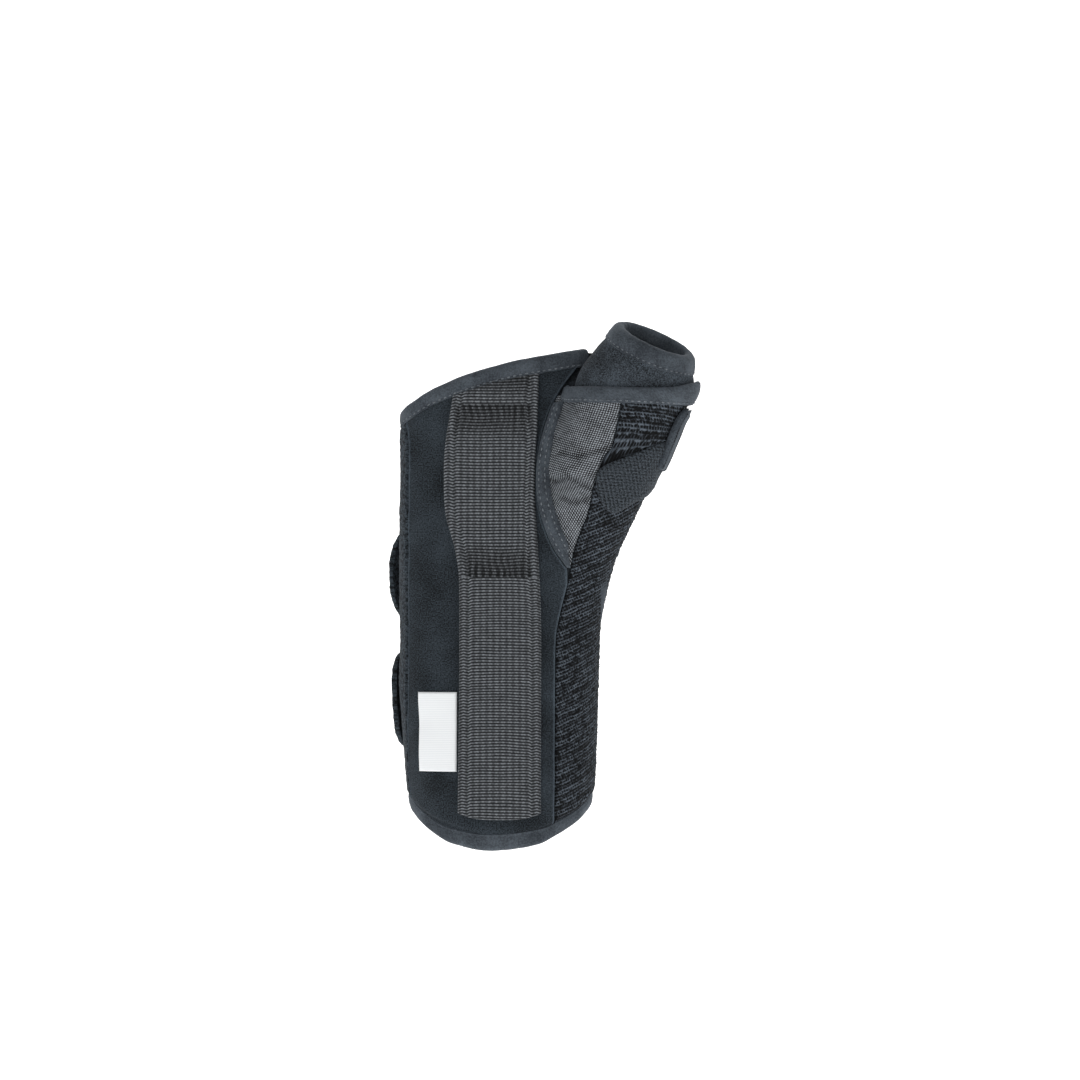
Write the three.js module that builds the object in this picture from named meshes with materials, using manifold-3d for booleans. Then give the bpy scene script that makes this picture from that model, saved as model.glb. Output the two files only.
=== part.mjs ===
// Thumb spica splint for a right hand, worn upright: +Z runs from forearm to fingers, +X to the
// thumb side, -Y to the palm side. The origin is the centre of the wrist hollow. Millimetres.
import * as THREE from 'three';
import { mergeVertices } from 'three/addons/utils/BufferGeometryUtils.js';
import Module from 'manifold-3d';

const wasm = await Module();
wasm.setup();

// Driving dimensions of the sleeve
const palmReach = 80.4; // wrist centre up to the highest point of the palm edge
const forearmReach = 110.6; // wrist centre down to the lowest point of the forearm edge
const handBreadth = 76.4; // across the sleeve at the palm
const sleeveDepth = 56; // palm face to back, at the forearm edge
const thumbReach = 109.4; // along the thumb axis, from its root inside the sleeve to the collar rim
const thumbBreadth = 41.2; // across the thumb sleeve where it is widest
const thumbDepth = 37; // palm side to back of the thumb sleeve
const thumbLean = 23.5; // degrees, axis to the thumb side
const thumbForward = 13.1; // degrees, axis to the palm side
const collarHeight = 33; // length of the collar along the thumb axis

// Driving dimensions of the cloth
const foamWall = 2.4;
const clothWall = 1.2;
const webbingWall = 1.8;
const canvasRoll = 1.5;
const bindingWall = 1.1;
const bindingLeg = 5.2;
const collarLeg = 6;
const labelWall = 1;
const labelSize = { breadth: 15, height: 32.4, low: 83.1 };
const strapWall = 1.8;
const strapBreadth = 38;
const thumbStrapWall = 2;
const thumbStrapBreadth = 27;
const slitWidth = 8;
const gap = 0.3; // between two pieces that touch on the real splint
const seatGap = 0.9; // from a cut edge to the binding rolled over it

// Heights above the sleeve's outer face, from the layers under each piece
const clothLow = gap;
const clothHigh = clothLow + clothWall;
const upperLow = clothHigh + gap;
const webbingHigh = upperLow + webbingWall;
const rollHigh = upperLow + canvasRoll;
const tabHigh = upperLow + clothWall;

const around = 32; // facets round the sleeve
const along = 12; // facets along it
const thumbAround = 20;
const thumbAlong = 9;
const fullTurn = 360; // degrees
const deg = Math.PI / 180;
const halfBreadth = handBreadth / 2;

// Sections of the sleeve. Columns: height (share of forearm reach below the wrist, of palm reach
// above it), shift to the thumb side, half breadth (both shares of half the hand breadth),
// shift to the palm side, half depth (both shares of half the sleeve depth), squareness.
const sleeveSections = [
  [-1.02, -0.013, 0.86, 0, 1, 2.15],
  [-0.814, -0.013, 0.93, 0, 0.985, 2.2],
  [-0.45, -0.026, 0.972, 0, 0.92, 2.3],
  [-0.18, -0.016, 0.984, 0, 0.83, 2.4],
  [0, -0.008, 0.99, 0, 0.79, 2.5],
  [0.31, 0, 1, -0.02, 0.74, 2.6],
  [0.62, 0, 1, -0.05, 0.69, 2.6],
  [1, 0.013, 0.995, -0.08, 0.65, 2.6],
];

// Hand edge. Columns: angle from the middle of the palm to the thumb side, height (share of palm reach).
const handEdge = [
  [-180, 0.83],
  [-130, 0.735],
  [-90, 0.705],
  [-60, 0.745],
  [-40, 0.818],
  [-20, 0.888],
  [0, 0.937],
  [25, 0.976],
  [50, 1],
  [75, 0.985],
  [95, 0.93],
  [130, 0.89],
  [180, 0.83],
];

// Forearm edge. Columns: angle as above, height (share of forearm reach).
const forearmEdge = [
  [-180, -0.86],
  [-130, -0.85],
  [-90, -0.86],
  [-75, -0.885],
  [-62, -0.918],
  [-50, -0.945],
  [-36, -0.977],
  [-8, -1],
  [28, -0.977],
  [44, -0.942],
  [62, -0.905],
  [75, -0.88],
  [90, -0.86],
  [140, -0.85],
  [180, -0.86],
];

// Sections of the thumb sleeve. Columns: place on the axis (share of thumb reach), shift to the
// thumb side, half breadth (shares of half the thumb breadth), shift to the palm side, half depth
// (shares of half the thumb depth), squareness.
const thumbSections = [
  [0, 0, 0.85, 0, 0.81, 2],
  [0.24, 0, 0.885, 0, 0.92, 2],
  [0.49, 0, 0.932, 0, 1, 2.05],
  [0.64, -0.03, 0.932, 0, 0.975, 2.05],
  [0.78, -0.07, 1, 0, 0.945, 2.05],
  [1, 0, 0.786, 0, 0.8, 2],
];
const canvasDepth = thumbDepth * 0.22; // how far in front of the wrist centre the canvas ends
const rimRise = -0.006; // the collar rim stands lower on the palm side, share of thumb reach
// Root of the thumb sleeve, in shares of half breadth, half depth and forearm reach
const thumbRoot = { across: 0.427, front: 0.029, up: -0.127 };

// Outlines as seen from the palm side. Columns: place to the thumb side (share of half the hand
// breadth), height (share of forearm reach below the wrist, of palm reach above it).
const rollLine = [
  [0.634, -0.014],
  [0.531, 0.058],
  [0.44, 0.174],
  [0.377, 0.306],
  [0.366, 0.437],
  [0.387, 0.534],
  [0.45, 0.659],
  [0.531, 0.761],
];
const seamLine = [
  [0.521, -0.945],
  [0.531, -0.473],
  [0.542, -0.268],
  [0.581, -0.191],
  [0.654, -0.089],
  [0.694, -0.021],
];
const canvasSide = [
  [0.725, 0.044],
  [0.796, 0.141],
  [0.877, 0.238],
  [0.919, 0.34],
  [0.961, 0.403],
  [1.042, 0.505],
  [1.123, 0.534],
  [1.165, 0.659],
  [1.194, 0.733],
  [1.209, 0.791],
];
const pocketLeft = [
  [-0.44, -0.878],
  [-0.44, -0.071],
  [-0.479, 0.058],
  [-0.552, 0.219],
  [-0.571, 0.427],
  [-0.552, 0.577],
  [-0.479, 0.815],
  [-0.46, 1.1],
];
const pocketRight = [
  [0.377, 1.1],
  [0.35, 0.577],
  [0.345, 0.325],
  [0.36, 0.112],
  [0.387, -0.141],
  [0.377, -0.846],
  [0.33, -0.884],
  [-0.02, -0.902],
  [-0.38, -0.897],
];
const tabOutline = [
  [1.9, 0.68],
  [1.694, 0.592],
  [1.531, 0.558],
  [1.327, 0.514],
  [1.113, 0.485],
  [1.042, 0.456],
  [0.99, 0.427],
  [0.95, 0.383],
  [0.961, 0.32],
  [1, 0.286],
  [1.031, 0.248],
  [1.102, 0.228],
  [1.296, 0.291],
  [1.482, 0.345],
  [1.9, 0.46],
];
// Heights of the top binding and of the cloth under it, and the binding's left end
const thumbTop = { low: 0.754, high: 0.828, cloth: 0.791, start: 0.623 };
const palmSide = -0.99; // left edge of the palm panel
const slitPlace = { across: 0.16, top: 0.27 };

// Strap runs. Columns: middle height (share of forearm reach), start and tip angles, lift of the tip (mm).
const strapRuns = [
  ['wrist_strap', -0.055, 128, -108, 3.4],
  ['forearm_strap', -0.493, 128, -101, 1.2],
];
const thumbStrapRun = { from: 59, to: 160, low: 0.572, tilt: -0.34 };
// Strap length, where its tip begins to lift, and the least half width of the tip
const tip = { length: 150, start: 0.75, least: 2 };
const tabDepth = thumbDepth * 0.35; // how far in front of the wrist centre the tab ends

function mix(a, b, t) {
  return a + (b - a) * t;
}

// Smooth values between the rows of a table; past its ends the end row holds.
function between(rows, key) {
  const last = rows.length - 1;
  let i = 0;
  while (i < last - 1 && key > rows[i + 1][0]) i += 1;
  const span = rows[i + 1][0] - rows[i][0];
  const t = Math.min(1, Math.max(0, (key - rows[i][0]) / span));
  const slope = (j, c) => {
    if (j === 0 || j === last) return 0;
    return ((rows[j + 1][c] - rows[j - 1][c]) / (rows[j + 1][0] - rows[j - 1][0])) * span;
  };
  return rows[i].map((value, c) => {
    const next = rows[i + 1][c];
    const rise = slope(i, c) * t * (1 - t) * (1 - t) - slope(i + 1, c) * t * t * (1 - t);
    return mix(value, next, t * t * (3 - 2 * t)) + rise;
  });
}

function evenShares(count) {
  return Array.from({ length: count - 1 }, (_, i) => (i + 1) / count);
}

function heightOf(share) {
  return share < 0 ? share * forearmReach : share * palmReach;
}

function makeSleeve() {
  const rows = sleeveSections.map(([h, sx, w, sy, d, n]) => [
    heightOf(h), sx * halfBreadth, w * halfBreadth, (sy * sleeveDepth) / 2, (d * sleeveDepth) / 2, n,
  ]);
  return {
    origin: new THREE.Vector3(),
    across: new THREE.Vector3(1, 0, 0),
    front: new THREE.Vector3(0, -1, 0),
    axis: new THREE.Vector3(0, 0, 1),
    rows,
    around,
    stations: [],
    shares: evenShares(along),
    low: (angle) => between(forearmEdge, angle)[1] * forearmReach,
    high: (angle) => between(handEdge, angle)[1] * palmReach,
  };
}

function makeThumb() {
  const axis = new THREE.Vector3(Math.tan(thumbLean * deg), -Math.tan(thumbForward * deg), 1).normalize();
  const side = new THREE.Vector3(1, 0, 0).addScaledVector(axis, -axis.x).normalize();
  const front = new THREE.Vector3().crossVectors(side, axis).normalize();
  const rows = thumbSections.map(([s, sx, w, sy, d, n]) => [
    s * thumbReach,
    (sx * thumbBreadth) / 2, (w * thumbBreadth) / 2,
    (sy * thumbDepth) / 2, (d * thumbDepth) / 2,
    n,
  ]);
  return {
    origin: new THREE.Vector3(
      thumbRoot.across * halfBreadth, (-thumbRoot.front * sleeveDepth) / 2, thumbRoot.up * forearmReach,
    ),
    across: side,
    front,
    axis,
    rows,
    around: thumbAround,
    stations: evenShares(thumbAlong).map((t) => t * thumbReach),
    shares: [],
    low: () => 0,
    high: (angle) => thumbReach * (1 + rimRise * Math.cos(angle * deg)),
  };
}

// Point on a tube's outer face. Angle in degrees from its palm side to its thumb side.
function facePoint(tube, angle, height) {
  const [, shiftAcross, halfAcross, shiftFront, halfFront, squareness] = between(tube.rows, height);
  const s = Math.sin(angle * deg);
  const c = Math.cos(angle * deg);
  const reach = (Math.abs(s) ** squareness + Math.abs(c) ** squareness) ** (-1 / squareness);
  return tube.origin.clone()
    .addScaledVector(tube.across, shiftAcross + halfAcross * s * reach)
    .addScaledVector(tube.front, shiftFront + halfFront * c * reach)
    .addScaledVector(tube.axis, height);
}

function faceNormal(tube, angle, height) {
  const turn = facePoint(tube, angle + 0.5, height).sub(facePoint(tube, angle - 0.5, height));
  const rise = facePoint(tube, angle, height + 0.5).sub(facePoint(tube, angle, height - 0.5));
  return turn.cross(rise).normalize();
}

function offsetPoint(tube, angle, height, offset) {
  return facePoint(tube, angle, height).addScaledVector(faceNormal(tube, angle, height), offset);
}

function geometryFrom(points, faces) {
  const geometry = new THREE.BufferGeometry();
  const values = points.flatMap((p) => [p.x, p.y, p.z]);
  geometry.setAttribute('position', new THREE.Float32BufferAttribute(values, 3));
  geometry.setIndex(faces);
  return geometry;
}

function toSolid(geometry) {
  geometry.deleteAttribute('normal');
  geometry.deleteAttribute('uv');
  const merged = mergeVertices(geometry, 1e-4);
  const vertProperties = new Float32Array(merged.attributes.position.array);
  const triVerts = new Uint32Array(merged.index.array);
  return new wasm.Manifold(new wasm.Mesh({ numProp: 3, vertProperties, triVerts }));
}

function toGeometry(solid) {
  const mesh = solid.getMesh();
  const geometry = new THREE.BufferGeometry();
  geometry.setAttribute('position', new THREE.BufferAttribute(mesh.vertProperties, 3));
  geometry.setIndex(new THREE.BufferAttribute(mesh.triVerts, 1));
  geometry.computeVertexNormals();
  return geometry;
}

// Solid filling a tube out to an offset, between two heights given by functions of the angle.
function fillTube(tube, offset, low = tube.low, high = tube.high) {
  const points = [];
  const faces = [];
  const inner = tube.stations.filter((height) => height > low(0) + 1 && height < high(180) - 1);
  const levels = [low, ...inner.map((height) => () => height), high];
  if (!inner.length) levels.splice(1, 0, ...tube.shares.map((t) => (angle) => mix(low(angle), high(angle), t)));
  const top = levels.length - 1;
  for (const level of levels) {
    for (let i = 0; i < tube.around; i += 1) {
      const angle = (i / tube.around - 0.5) * fullTurn;
      points.push(offsetPoint(tube, angle, level(angle), offset));
    }
  }
  const at = (i, j) => j * tube.around + (i % tube.around);
  for (let j = 0; j < top; j += 1) {
    for (let i = 0; i < tube.around; i += 1) {
      faces.push(at(i, j), at(i + 1, j), at(i + 1, j + 1), at(i, j), at(i + 1, j + 1), at(i, j + 1));
    }
  }
  for (const [row, flip] of [[0, true], [top, false]]) {
    const centre = new THREE.Vector3();
    for (let i = 0; i < tube.around; i += 1) centre.addScaledVector(points[at(i, row)], 1 / tube.around);
    points.push(centre);
    const middle = points.length - 1;
    for (let i = 0; i < tube.around; i += 1) {
      if (flip) faces.push(middle, at(i + 1, row), at(i, row));
      else faces.push(middle, at(i, row), at(i + 1, row));
    }
  }
  return toSolid(geometryFrom(points, faces));
}

// Closed solid between two faces of one grid of points.
function gridSolid(columns, rows, pointAt) {
  const points = [];
  const faces = [];
  for (const side of [0, 1]) {
    for (let j = 0; j <= rows; j += 1) {
      for (let i = 0; i <= columns; i += 1) points.push(pointAt(i / columns, j / rows, side));
    }
  }
  const at = (i, j, side) => (side * (rows + 1) + j) * (columns + 1) + i;
  const quad = (a, b, c, d) => faces.push(a, b, c, a, c, d);
  for (let j = 0; j < rows; j += 1) {
    for (let i = 0; i < columns; i += 1) {
      quad(at(i, j, 1), at(i + 1, j, 1), at(i + 1, j + 1, 1), at(i, j + 1, 1));
      quad(at(i, j + 1, 0), at(i + 1, j + 1, 0), at(i + 1, j, 0), at(i, j, 0));
    }
  }
  for (let i = 0; i < columns; i += 1) {
    quad(at(i, 0, 0), at(i + 1, 0, 0), at(i + 1, 0, 1), at(i, 0, 1));
    quad(at(i, rows, 1), at(i + 1, rows, 1), at(i + 1, rows, 0), at(i, rows, 0));
  }
  for (let j = 0; j < rows; j += 1) {
    quad(at(0, j, 0), at(0, j, 1), at(0, j + 1, 1), at(0, j + 1, 0));
    quad(at(columns, j, 1), at(columns, j, 0), at(columns, j + 1, 0), at(columns, j + 1, 1));
  }
  return geometryFrom(points, faces);
}

// Channel swept along an edge. Stations carry a point, the face's normal and the way past the edge;
// the profile's columns are the distance along each.
function sweepEdge(stations, profile, closed) {
  const points = [];
  const faces = [];
  const n = profile.length;
  for (const { point, normal, past } of stations) {
    for (const [out, beyond] of profile) {
      points.push(point.clone().addScaledVector(normal, out).addScaledVector(past, beyond));
    }
  }
  const steps = closed ? stations.length : stations.length - 1;
  for (let j = 0; j < steps; j += 1) {
    const next = (j + 1) % stations.length;
    for (let i = 0; i < n; i += 1) {
      const k = (i + 1) % n;
      faces.push(j * n + i, next * n + k, j * n + k, j * n + i, next * n + i, next * n + k);
    }
  }
  if (!closed) {
    const flat = THREE.ShapeUtils.triangulateShape(profile.map(([x, y]) => new THREE.Vector2(x, y)), []);
    const end = (stations.length - 1) * n;
    for (const [a, b, c] of flat) faces.push(a, b, c, end + a, end + c, end + b);
  }
  return toSolid(geometryFrom(points, faces));
}

// Outline point from its shares
function outlinePoint([x, h]) {
  return new THREE.Vector2(x * halfBreadth, heightOf(h));
}

// Outline moved outward by a distance, for the clearance round its piece
function growOutline(points, distance) {
  const turn = THREE.ShapeUtils.isClockWise(points) ? -1 : 1;
  return points.map((p, i) => {
    const before = points[(i + points.length - 1) % points.length];
    const after = points[(i + 1) % points.length];
    const a = p.clone().sub(before).normalize();
    const b = after.clone().sub(p).normalize();
    const normal = new THREE.Vector2(a.y + b.y, -a.x - b.x).normalize().multiplyScalar(turn);
    const spread = Math.max(0.5, Math.sqrt((1 + a.dot(b)) / 2));
    return p.clone().addScaledVector(normal, distance / spread);
  });
}

function smoothLine(rows, perRow = 2) {
  return new THREE.SplineCurve(rows.map(outlinePoint)).getPoints((rows.length - 1) * perRow);
}

// Block with an outline seen from the palm side, between two depths
function frontBlock(outline, nearY, farY) {
  const geometry = new THREE.ExtrudeGeometry(new THREE.Shape(outline), {
    depth: farY - nearY, bevelEnabled: false, curveSegments: 4,
  });
  geometry.rotateX(Math.PI / 2);
  geometry.translate(0, farY, 0);
  return toSolid(geometry);
}

function rectangle(x0, x1, z0, z1) {
  return [
    new THREE.Vector2(x0, z0), new THREE.Vector2(x1, z0), new THREE.Vector2(x1, z1), new THREE.Vector2(x0, z1),
  ];
}

const sleeve = makeSleeve();
const thumb = makeThumb();
const margin = sleeveDepth; // clears the whole splint
const farBelow = -forearmReach - margin;
const farAbove = palmReach + margin;
const overrun = 20; // how far hollows are cut past their openings
const collarStart = thumbReach - collarHeight;
const rollStep = smoothLine(rollLine);
const palmOutline = [
  new THREE.Vector2(palmSide * halfBreadth, farAbove),
  new THREE.Vector2(palmSide * halfBreadth, farBelow),
  outlinePoint([0.531, -1]).setY(farBelow),
  ...smoothLine(seamLine),
  ...rollStep,
  outlinePoint([0.63, 0.846]),
  outlinePoint([0.76, 0.933]),
  outlinePoint([1, 1.12]),
  outlinePoint([1, 1.12]).setY(farAbove),
];
const canvasOutline = [
  ...rollStep,
  outlinePoint([0.563, thumbTop.cloth]),
  ...smoothLine(canvasSide).reverse(),
  outlinePoint([0.694, -0.021]),
];

function sleeveAndThumb(offset, sleeveInset, thumbHigh) {
  const trim = (edge, inset) => (angle) => edge(angle) + inset;
  const main = fillTube(sleeve, offset, trim(sleeve.low, sleeveInset), trim(sleeve.high, -sleeveInset));
  return main.add(fillTube(thumb, offset, thumb.low, thumbHigh));
}

// Sleeve and thumb sleeve filled to their inner faces and past their openings
const hollow = sleeveAndThumb(-foamWall, -overrun, () => thumbReach + overrun);
const thumbClear = fillTube(thumb, gap, () => collarStart - gap, () => thumbReach + overrun);
const slitBlock = frontBlock(
  rectangle(
    slitPlace.across * halfBreadth - slitWidth / 2, slitPlace.across * halfBreadth + slitWidth / 2,
    farBelow, slitPlace.top * palmReach,
  ),
  0, margin,
);

// Cloth layer over sleeve and thumb, up to the level of the top binding
const thumbCloth = thumbTop.cloth * palmReach;
const thumbBelow = frontBlock(rectangle(-margin, 2 * margin, farBelow, thumbCloth), -margin, margin);
function clothLayer(low, high) {
  const outer = fillTube(sleeve, high).add(fillTube(thumb, high).intersect(thumbBelow));
  return outer.subtract(sleeveAndThumb(low, -overrun, thumb.high));
}
const cloth = clothLayer(clothLow, clothHigh);
const upper = clothLayer(upperLow, rollHigh);

function wrapShell() {
  const outer = sleeveAndThumb(0, 0, () => collarStart - gap);
  return outer.subtract(hollow).subtract(thumbClear).subtract(slitBlock);
}

function thumbCollar() {
  return fillTube(thumb, 0, () => collarStart).subtract(hollow);
}

function palmPanel() {
  const palmBlock = frontBlock(palmOutline, -margin, 0);
  return cloth.intersect(palmBlock).subtract(thumbClear);
}

function spicaPanel() {
  const shape = growOutline(canvasOutline, -gap);
  return cloth.intersect(frontBlock(shape, -margin, -canvasDepth));
}

function otherCloth() {
  return cloth
    .subtract(frontBlock(growOutline(palmOutline, gap), -2 * margin, 0))
    .subtract(frontBlock(growOutline(canvasOutline, gap), -2 * margin, gap - canvasDepth))
    .subtract(slitBlock);
}

function ulnarLoopCover() {
  const x = slitPlace.across * halfBreadth;
  const side = rectangle(-2 * margin, x - gap, farBelow, farAbove);
  return otherCloth().intersect(frontBlock(side, -margin, margin));
}

function radialLoopPanel() {
  const x = slitPlace.across * halfBreadth;
  const side = rectangle(x + gap, 3 * margin, farBelow, farAbove);
  const above = rectangle(-margin, 2 * margin, thumbCloth, farAbove);
  return otherCloth()
    .intersect(frontBlock(side, -margin, margin))
    .subtract(thumbClear.intersect(frontBlock(above, -margin, margin)));
}

// Channel over an edge that holds a wall between two offsets
function channel(nearOut, nearIn, wall, leg) {
  const outer = nearOut + gap;
  const inner = nearIn - seatGap;
  return [
    [outer + wall, -leg],
    [outer + wall, seatGap],
    [mix(inner, outer, 0.5), seatGap + wall],
    [inner - wall, seatGap],
    [inner - wall, -leg],
    [inner, -leg],
    [inner, seatGap],
    [outer, seatGap],
    [outer, -leg],
  ];
}

const edgeRun = bindingLeg * 2; // stretch below an edge that gives the binding its slope

// Stations along a tube's low or high edge, one at each facet line between two angles
function edgeStations(tube, top, fromAngle, toAngle) {
  const stations = [];
  for (let i = 0; i < tube.around; i += 1) {
    const angle = (i / tube.around - 0.5) * fullTurn;
    if (angle < fromAngle || angle > toAngle) continue;
    const edge = top ? tube.high(angle) : tube.low(angle);
    const inside = top ? edge - edgeRun : edge + edgeRun;
    const point = facePoint(tube, angle, edge);
    const past = point.clone().sub(facePoint(tube, angle, inside)).normalize();
    stations.push({ point, normal: faceNormal(tube, angle, edge), past });
  }
  return stations;
}

const topBand = { low: thumbTop.low * palmReach, high: thumbTop.high * palmReach };
const bandReach = rollHigh + gap;

function handEdgeBinding() {
  const ring = sweepEdge(
    edgeStations(sleeve, true, -180, 180), channel(clothHigh, -foamWall, bindingWall, bindingLeg), true,
  );
  const clear = fillTube(thumb, bandReach, thumb.low, () => thumbReach + overrun);
  return ring.subtract(clear);
}

function forearmEdgeBinding() {
  const ring = sweepEdge(
    edgeStations(sleeve, false, -180, 180).reverse(),
    channel(clothHigh, -foamWall, bindingWall, bindingLeg),
    true,
  );
  return ring.subtract(slitBlock);
}

function thumbCollarBinding() {
  return sweepEdge(edgeStations(thumb, true, -180, 180), channel(0, -foamWall, bindingWall, collarLeg), true);
}

function palmStayPocket() {
  const inset = bindingLeg + gap;
  const trim = (edge, d) => (angle) => edge(angle) + d;
  const outer = fillTube(sleeve, webbingHigh, trim(sleeve.low, inset), trim(sleeve.high, -inset));
  const inner = fillTube(sleeve, upperLow, trim(sleeve.low, -overrun), trim(sleeve.high, overrun));
  const outline = [...smoothLine(pocketLeft), ...smoothLine(pocketRight)];
  return outer.subtract(inner).intersect(frontBlock(outline, -margin, 0));
}

function spicaEdgeBinding() {
  const outer = growOutline(rollStep, 0);
  const band = bindingLeg + gap;
  const inner = outer.map((p) => p.clone().setX(p.x + band)).reverse();
  const outline = [...outer, ...inner];
  const below = frontBlock(rectangle(-margin, margin, farBelow, topBand.low - gap), -2 * margin, 0);
  return upper.intersect(frontBlock(outline, -margin, 0)).intersect(below);
}

function spicaTopBinding() {
  const outer = fillTube(sleeve, rollHigh).add(fillTube(thumb, rollHigh));
  const inner = sleeveAndThumb(upperLow, -overrun, () => thumbReach + overrun);
  const left = thumbTop.start * halfBreadth;
  return outer.subtract(inner)
    .intersect(frontBlock(rectangle(left, 2 * margin, topBand.low, topBand.high), -margin, gap + clothWall))
    .subtract(fillTube(sleeve, upperLow));
}

function thumbTab() {
  const outer = fillTube(thumb, tabHigh).intersect(thumbBelow);
  const inner = sleeveAndThumb(upperLow, -overrun, thumb.high);
  const shape = new THREE.SplineCurve(tabOutline.map(outlinePoint)).getPoints(tabOutline.length * 2);
  return outer.subtract(inner).intersect(frontBlock(shape, -margin, -tabDepth));
}

// Round-ended strap on the back of the sleeve, its tip lifted off the cover
function backStrap([, height, start, end, lift]) {
  const low = upperLow + gap;
  const middle = heightOf(height);
  const half = strapBreadth / 2;
  return gridSolid(20, 6, (u, v, side) => {
    const angle = mix(start, end + fullTurn, u);
    const rest = (1 - u) * tip.length;
    const width = rest < half ? Math.max(Math.sqrt(half * half - (half - rest) ** 2), tip.least) : half;
    const raise = lift * Math.max(0, (u - tip.start) / (1 - tip.start)) ** 2;
    const turned = angle > fullTurn / 2 ? angle - fullTurn : angle;
    return offsetPoint(sleeve, turned, middle + (v * 2 - 1) * width, low + raise + side * strapWall);
  });
}

function thumbStrap() {
  const low = tabHigh + gap;
  const strap = gridSolid(10, 3, (u, v, side) => {
    const angle = mix(thumbStrapRun.from, thumbStrapRun.to, u);
    const height = thumbStrapRun.low * thumbReach + (v + thumbStrapRun.tilt * u) * thumbStrapBreadth;
    return offsetPoint(thumb, angle, height, low + side * thumbStrapWall);
  });
  return toSolid(strap).subtract(fillTube(sleeve, upperLow));
}

function sideLabel() {
  const right = -0.44 * halfBreadth - gap;
  const low = -labelSize.low;
  const outer = fillTube(sleeve, upperLow + labelWall);
  const inner = fillTube(sleeve, upperLow, (a) => sleeve.low(a) - overrun, (a) => sleeve.high(a) + overrun);
  const shape = rectangle(right - labelSize.breadth, right, low, low + labelSize.height);
  const block = frontBlock(shape, -margin, 0);
  return outer.subtract(inner).intersect(block);
}

const splint = new THREE.Group();

function addPiece(name, shape, color, roughness) {
  const geometry = shape.isBufferGeometry ? shape : toGeometry(shape);
  geometry.computeVertexNormals();
  const mesh = new THREE.Mesh(geometry, new THREE.MeshStandardMaterial({ color, roughness, metalness: 0 }));
  mesh.name = name;
  splint.add(mesh);
}

addPiece('wrap_shell', wrapShell(), 0x30363b, 0.9);
addPiece('thumb_collar', thumbCollar(), 0x394046, 0.88);
addPiece('palm_panel', palmPanel(), 0x2e363c, 0.92);
addPiece('ulnar_loop_cover', ulnarLoopCover(), 0x2b3238, 0.95);
addPiece('radial_loop_panel', radialLoopPanel(), 0x2c3339, 0.95);
addPiece('spica_panel', spicaPanel(), 0x555a60, 0.7);
addPiece('palm_stay_pocket', palmStayPocket(), 0x474b4f, 0.8);
addPiece('hand_edge_binding', handEdgeBinding(), 0x494f57, 0.85);
addPiece('forearm_edge_binding', forearmEdgeBinding(), 0x4b5057, 0.85);
addPiece('thumb_collar_binding', thumbCollarBinding(), 0x4c4a4f, 0.85);
addPiece('spica_edge_binding', spicaEdgeBinding(), 0x494f57, 0.85);
addPiece('spica_top_binding', spicaTopBinding(), 0x494f57, 0.85);
addPiece('thumb_tab', thumbTab(), 0x393f45, 0.85);
addPiece('thumb_strap', thumbStrap(), 0x363b40, 0.85);
for (const run of strapRuns) addPiece(run[0], backStrap(run), 0x2a3036, 0.95);
addPiece('side_label', sideLabel(), 0xf0f4f6, 0.6);

export default splint;
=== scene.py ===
from functools import partial

import bmesh
import bpy
import numpy as np
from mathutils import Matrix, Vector


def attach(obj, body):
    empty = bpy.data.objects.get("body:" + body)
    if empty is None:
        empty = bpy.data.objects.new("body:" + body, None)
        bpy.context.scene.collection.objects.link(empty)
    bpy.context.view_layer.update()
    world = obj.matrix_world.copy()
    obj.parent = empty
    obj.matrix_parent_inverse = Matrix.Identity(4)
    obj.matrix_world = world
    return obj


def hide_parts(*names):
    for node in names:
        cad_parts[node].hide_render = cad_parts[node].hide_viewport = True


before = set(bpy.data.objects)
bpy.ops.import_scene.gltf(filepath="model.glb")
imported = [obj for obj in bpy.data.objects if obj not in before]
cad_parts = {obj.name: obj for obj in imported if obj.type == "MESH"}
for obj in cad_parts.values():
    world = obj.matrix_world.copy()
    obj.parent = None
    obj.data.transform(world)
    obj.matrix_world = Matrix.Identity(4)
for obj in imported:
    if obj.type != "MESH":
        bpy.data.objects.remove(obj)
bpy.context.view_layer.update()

# Everything is worked out in mm and written to the meshes in metres.
mm = 0.001

# Sizes that the cloth pieces share
splint = {
    "palmReach": 80.4,  # from the origin up to the palm edge
    "forearmReach": 110.6,  # and down to the forearm edge
    "halfBreadth": 38.2,
    "halfDepth": 28.0,
    "thumbReach": 109.4,
    "halfThumbBreadth": 20.6,
    "halfThumbDepth": 18.5,
    "thumbLean": 23.5,
    "thumbForward": 13.1,
    "thumbRoot": (0.427, -0.029, -0.127),  # in half breadths, half depths and forearm reaches
    "foamWall": 2.4,
    "clothLow": 0.3,  # heights over the foam: first cloth layer
    "clothTop": 1.5,
    "upperLow": 1.8,  # what is sewn on top of it
    "fillet": 8.0,  # how softly the thumb sleeve runs into the wrap
    "slitMiddle": 6.1,
    "slitHalf": 4.0,
    "slitTop": 21.7,
    "thumbCut": 63.6,  # height where the cloth of the thumb sleeve ends
}

# height, shift across, half breadth, shift to the palm, half depth, squareness, in shares
sleeveSections = [
    [-1.02, -0.025, 0.82, 0, 0.96, 2.15],
    [-0.91, -0.02, 0.878, 0, 0.97, 2.15],
    [-0.814, -0.013, 0.918, 0, 0.985, 2.2],
    [-0.45, -0.026, 0.972, 0, 0.92, 2.3],
    [-0.18, -0.016, 0.984, 0, 0.83, 2.4],
    [0, -0.008, 0.99, 0, 0.79, 2.5],
    [0.31, 0, 1, -0.02, 0.74, 2.6],
    [0.62, 0, 1, -0.05, 0.69, 2.6],
    [1, 0.013, 0.995, -0.08, 0.65, 2.6],
]
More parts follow.
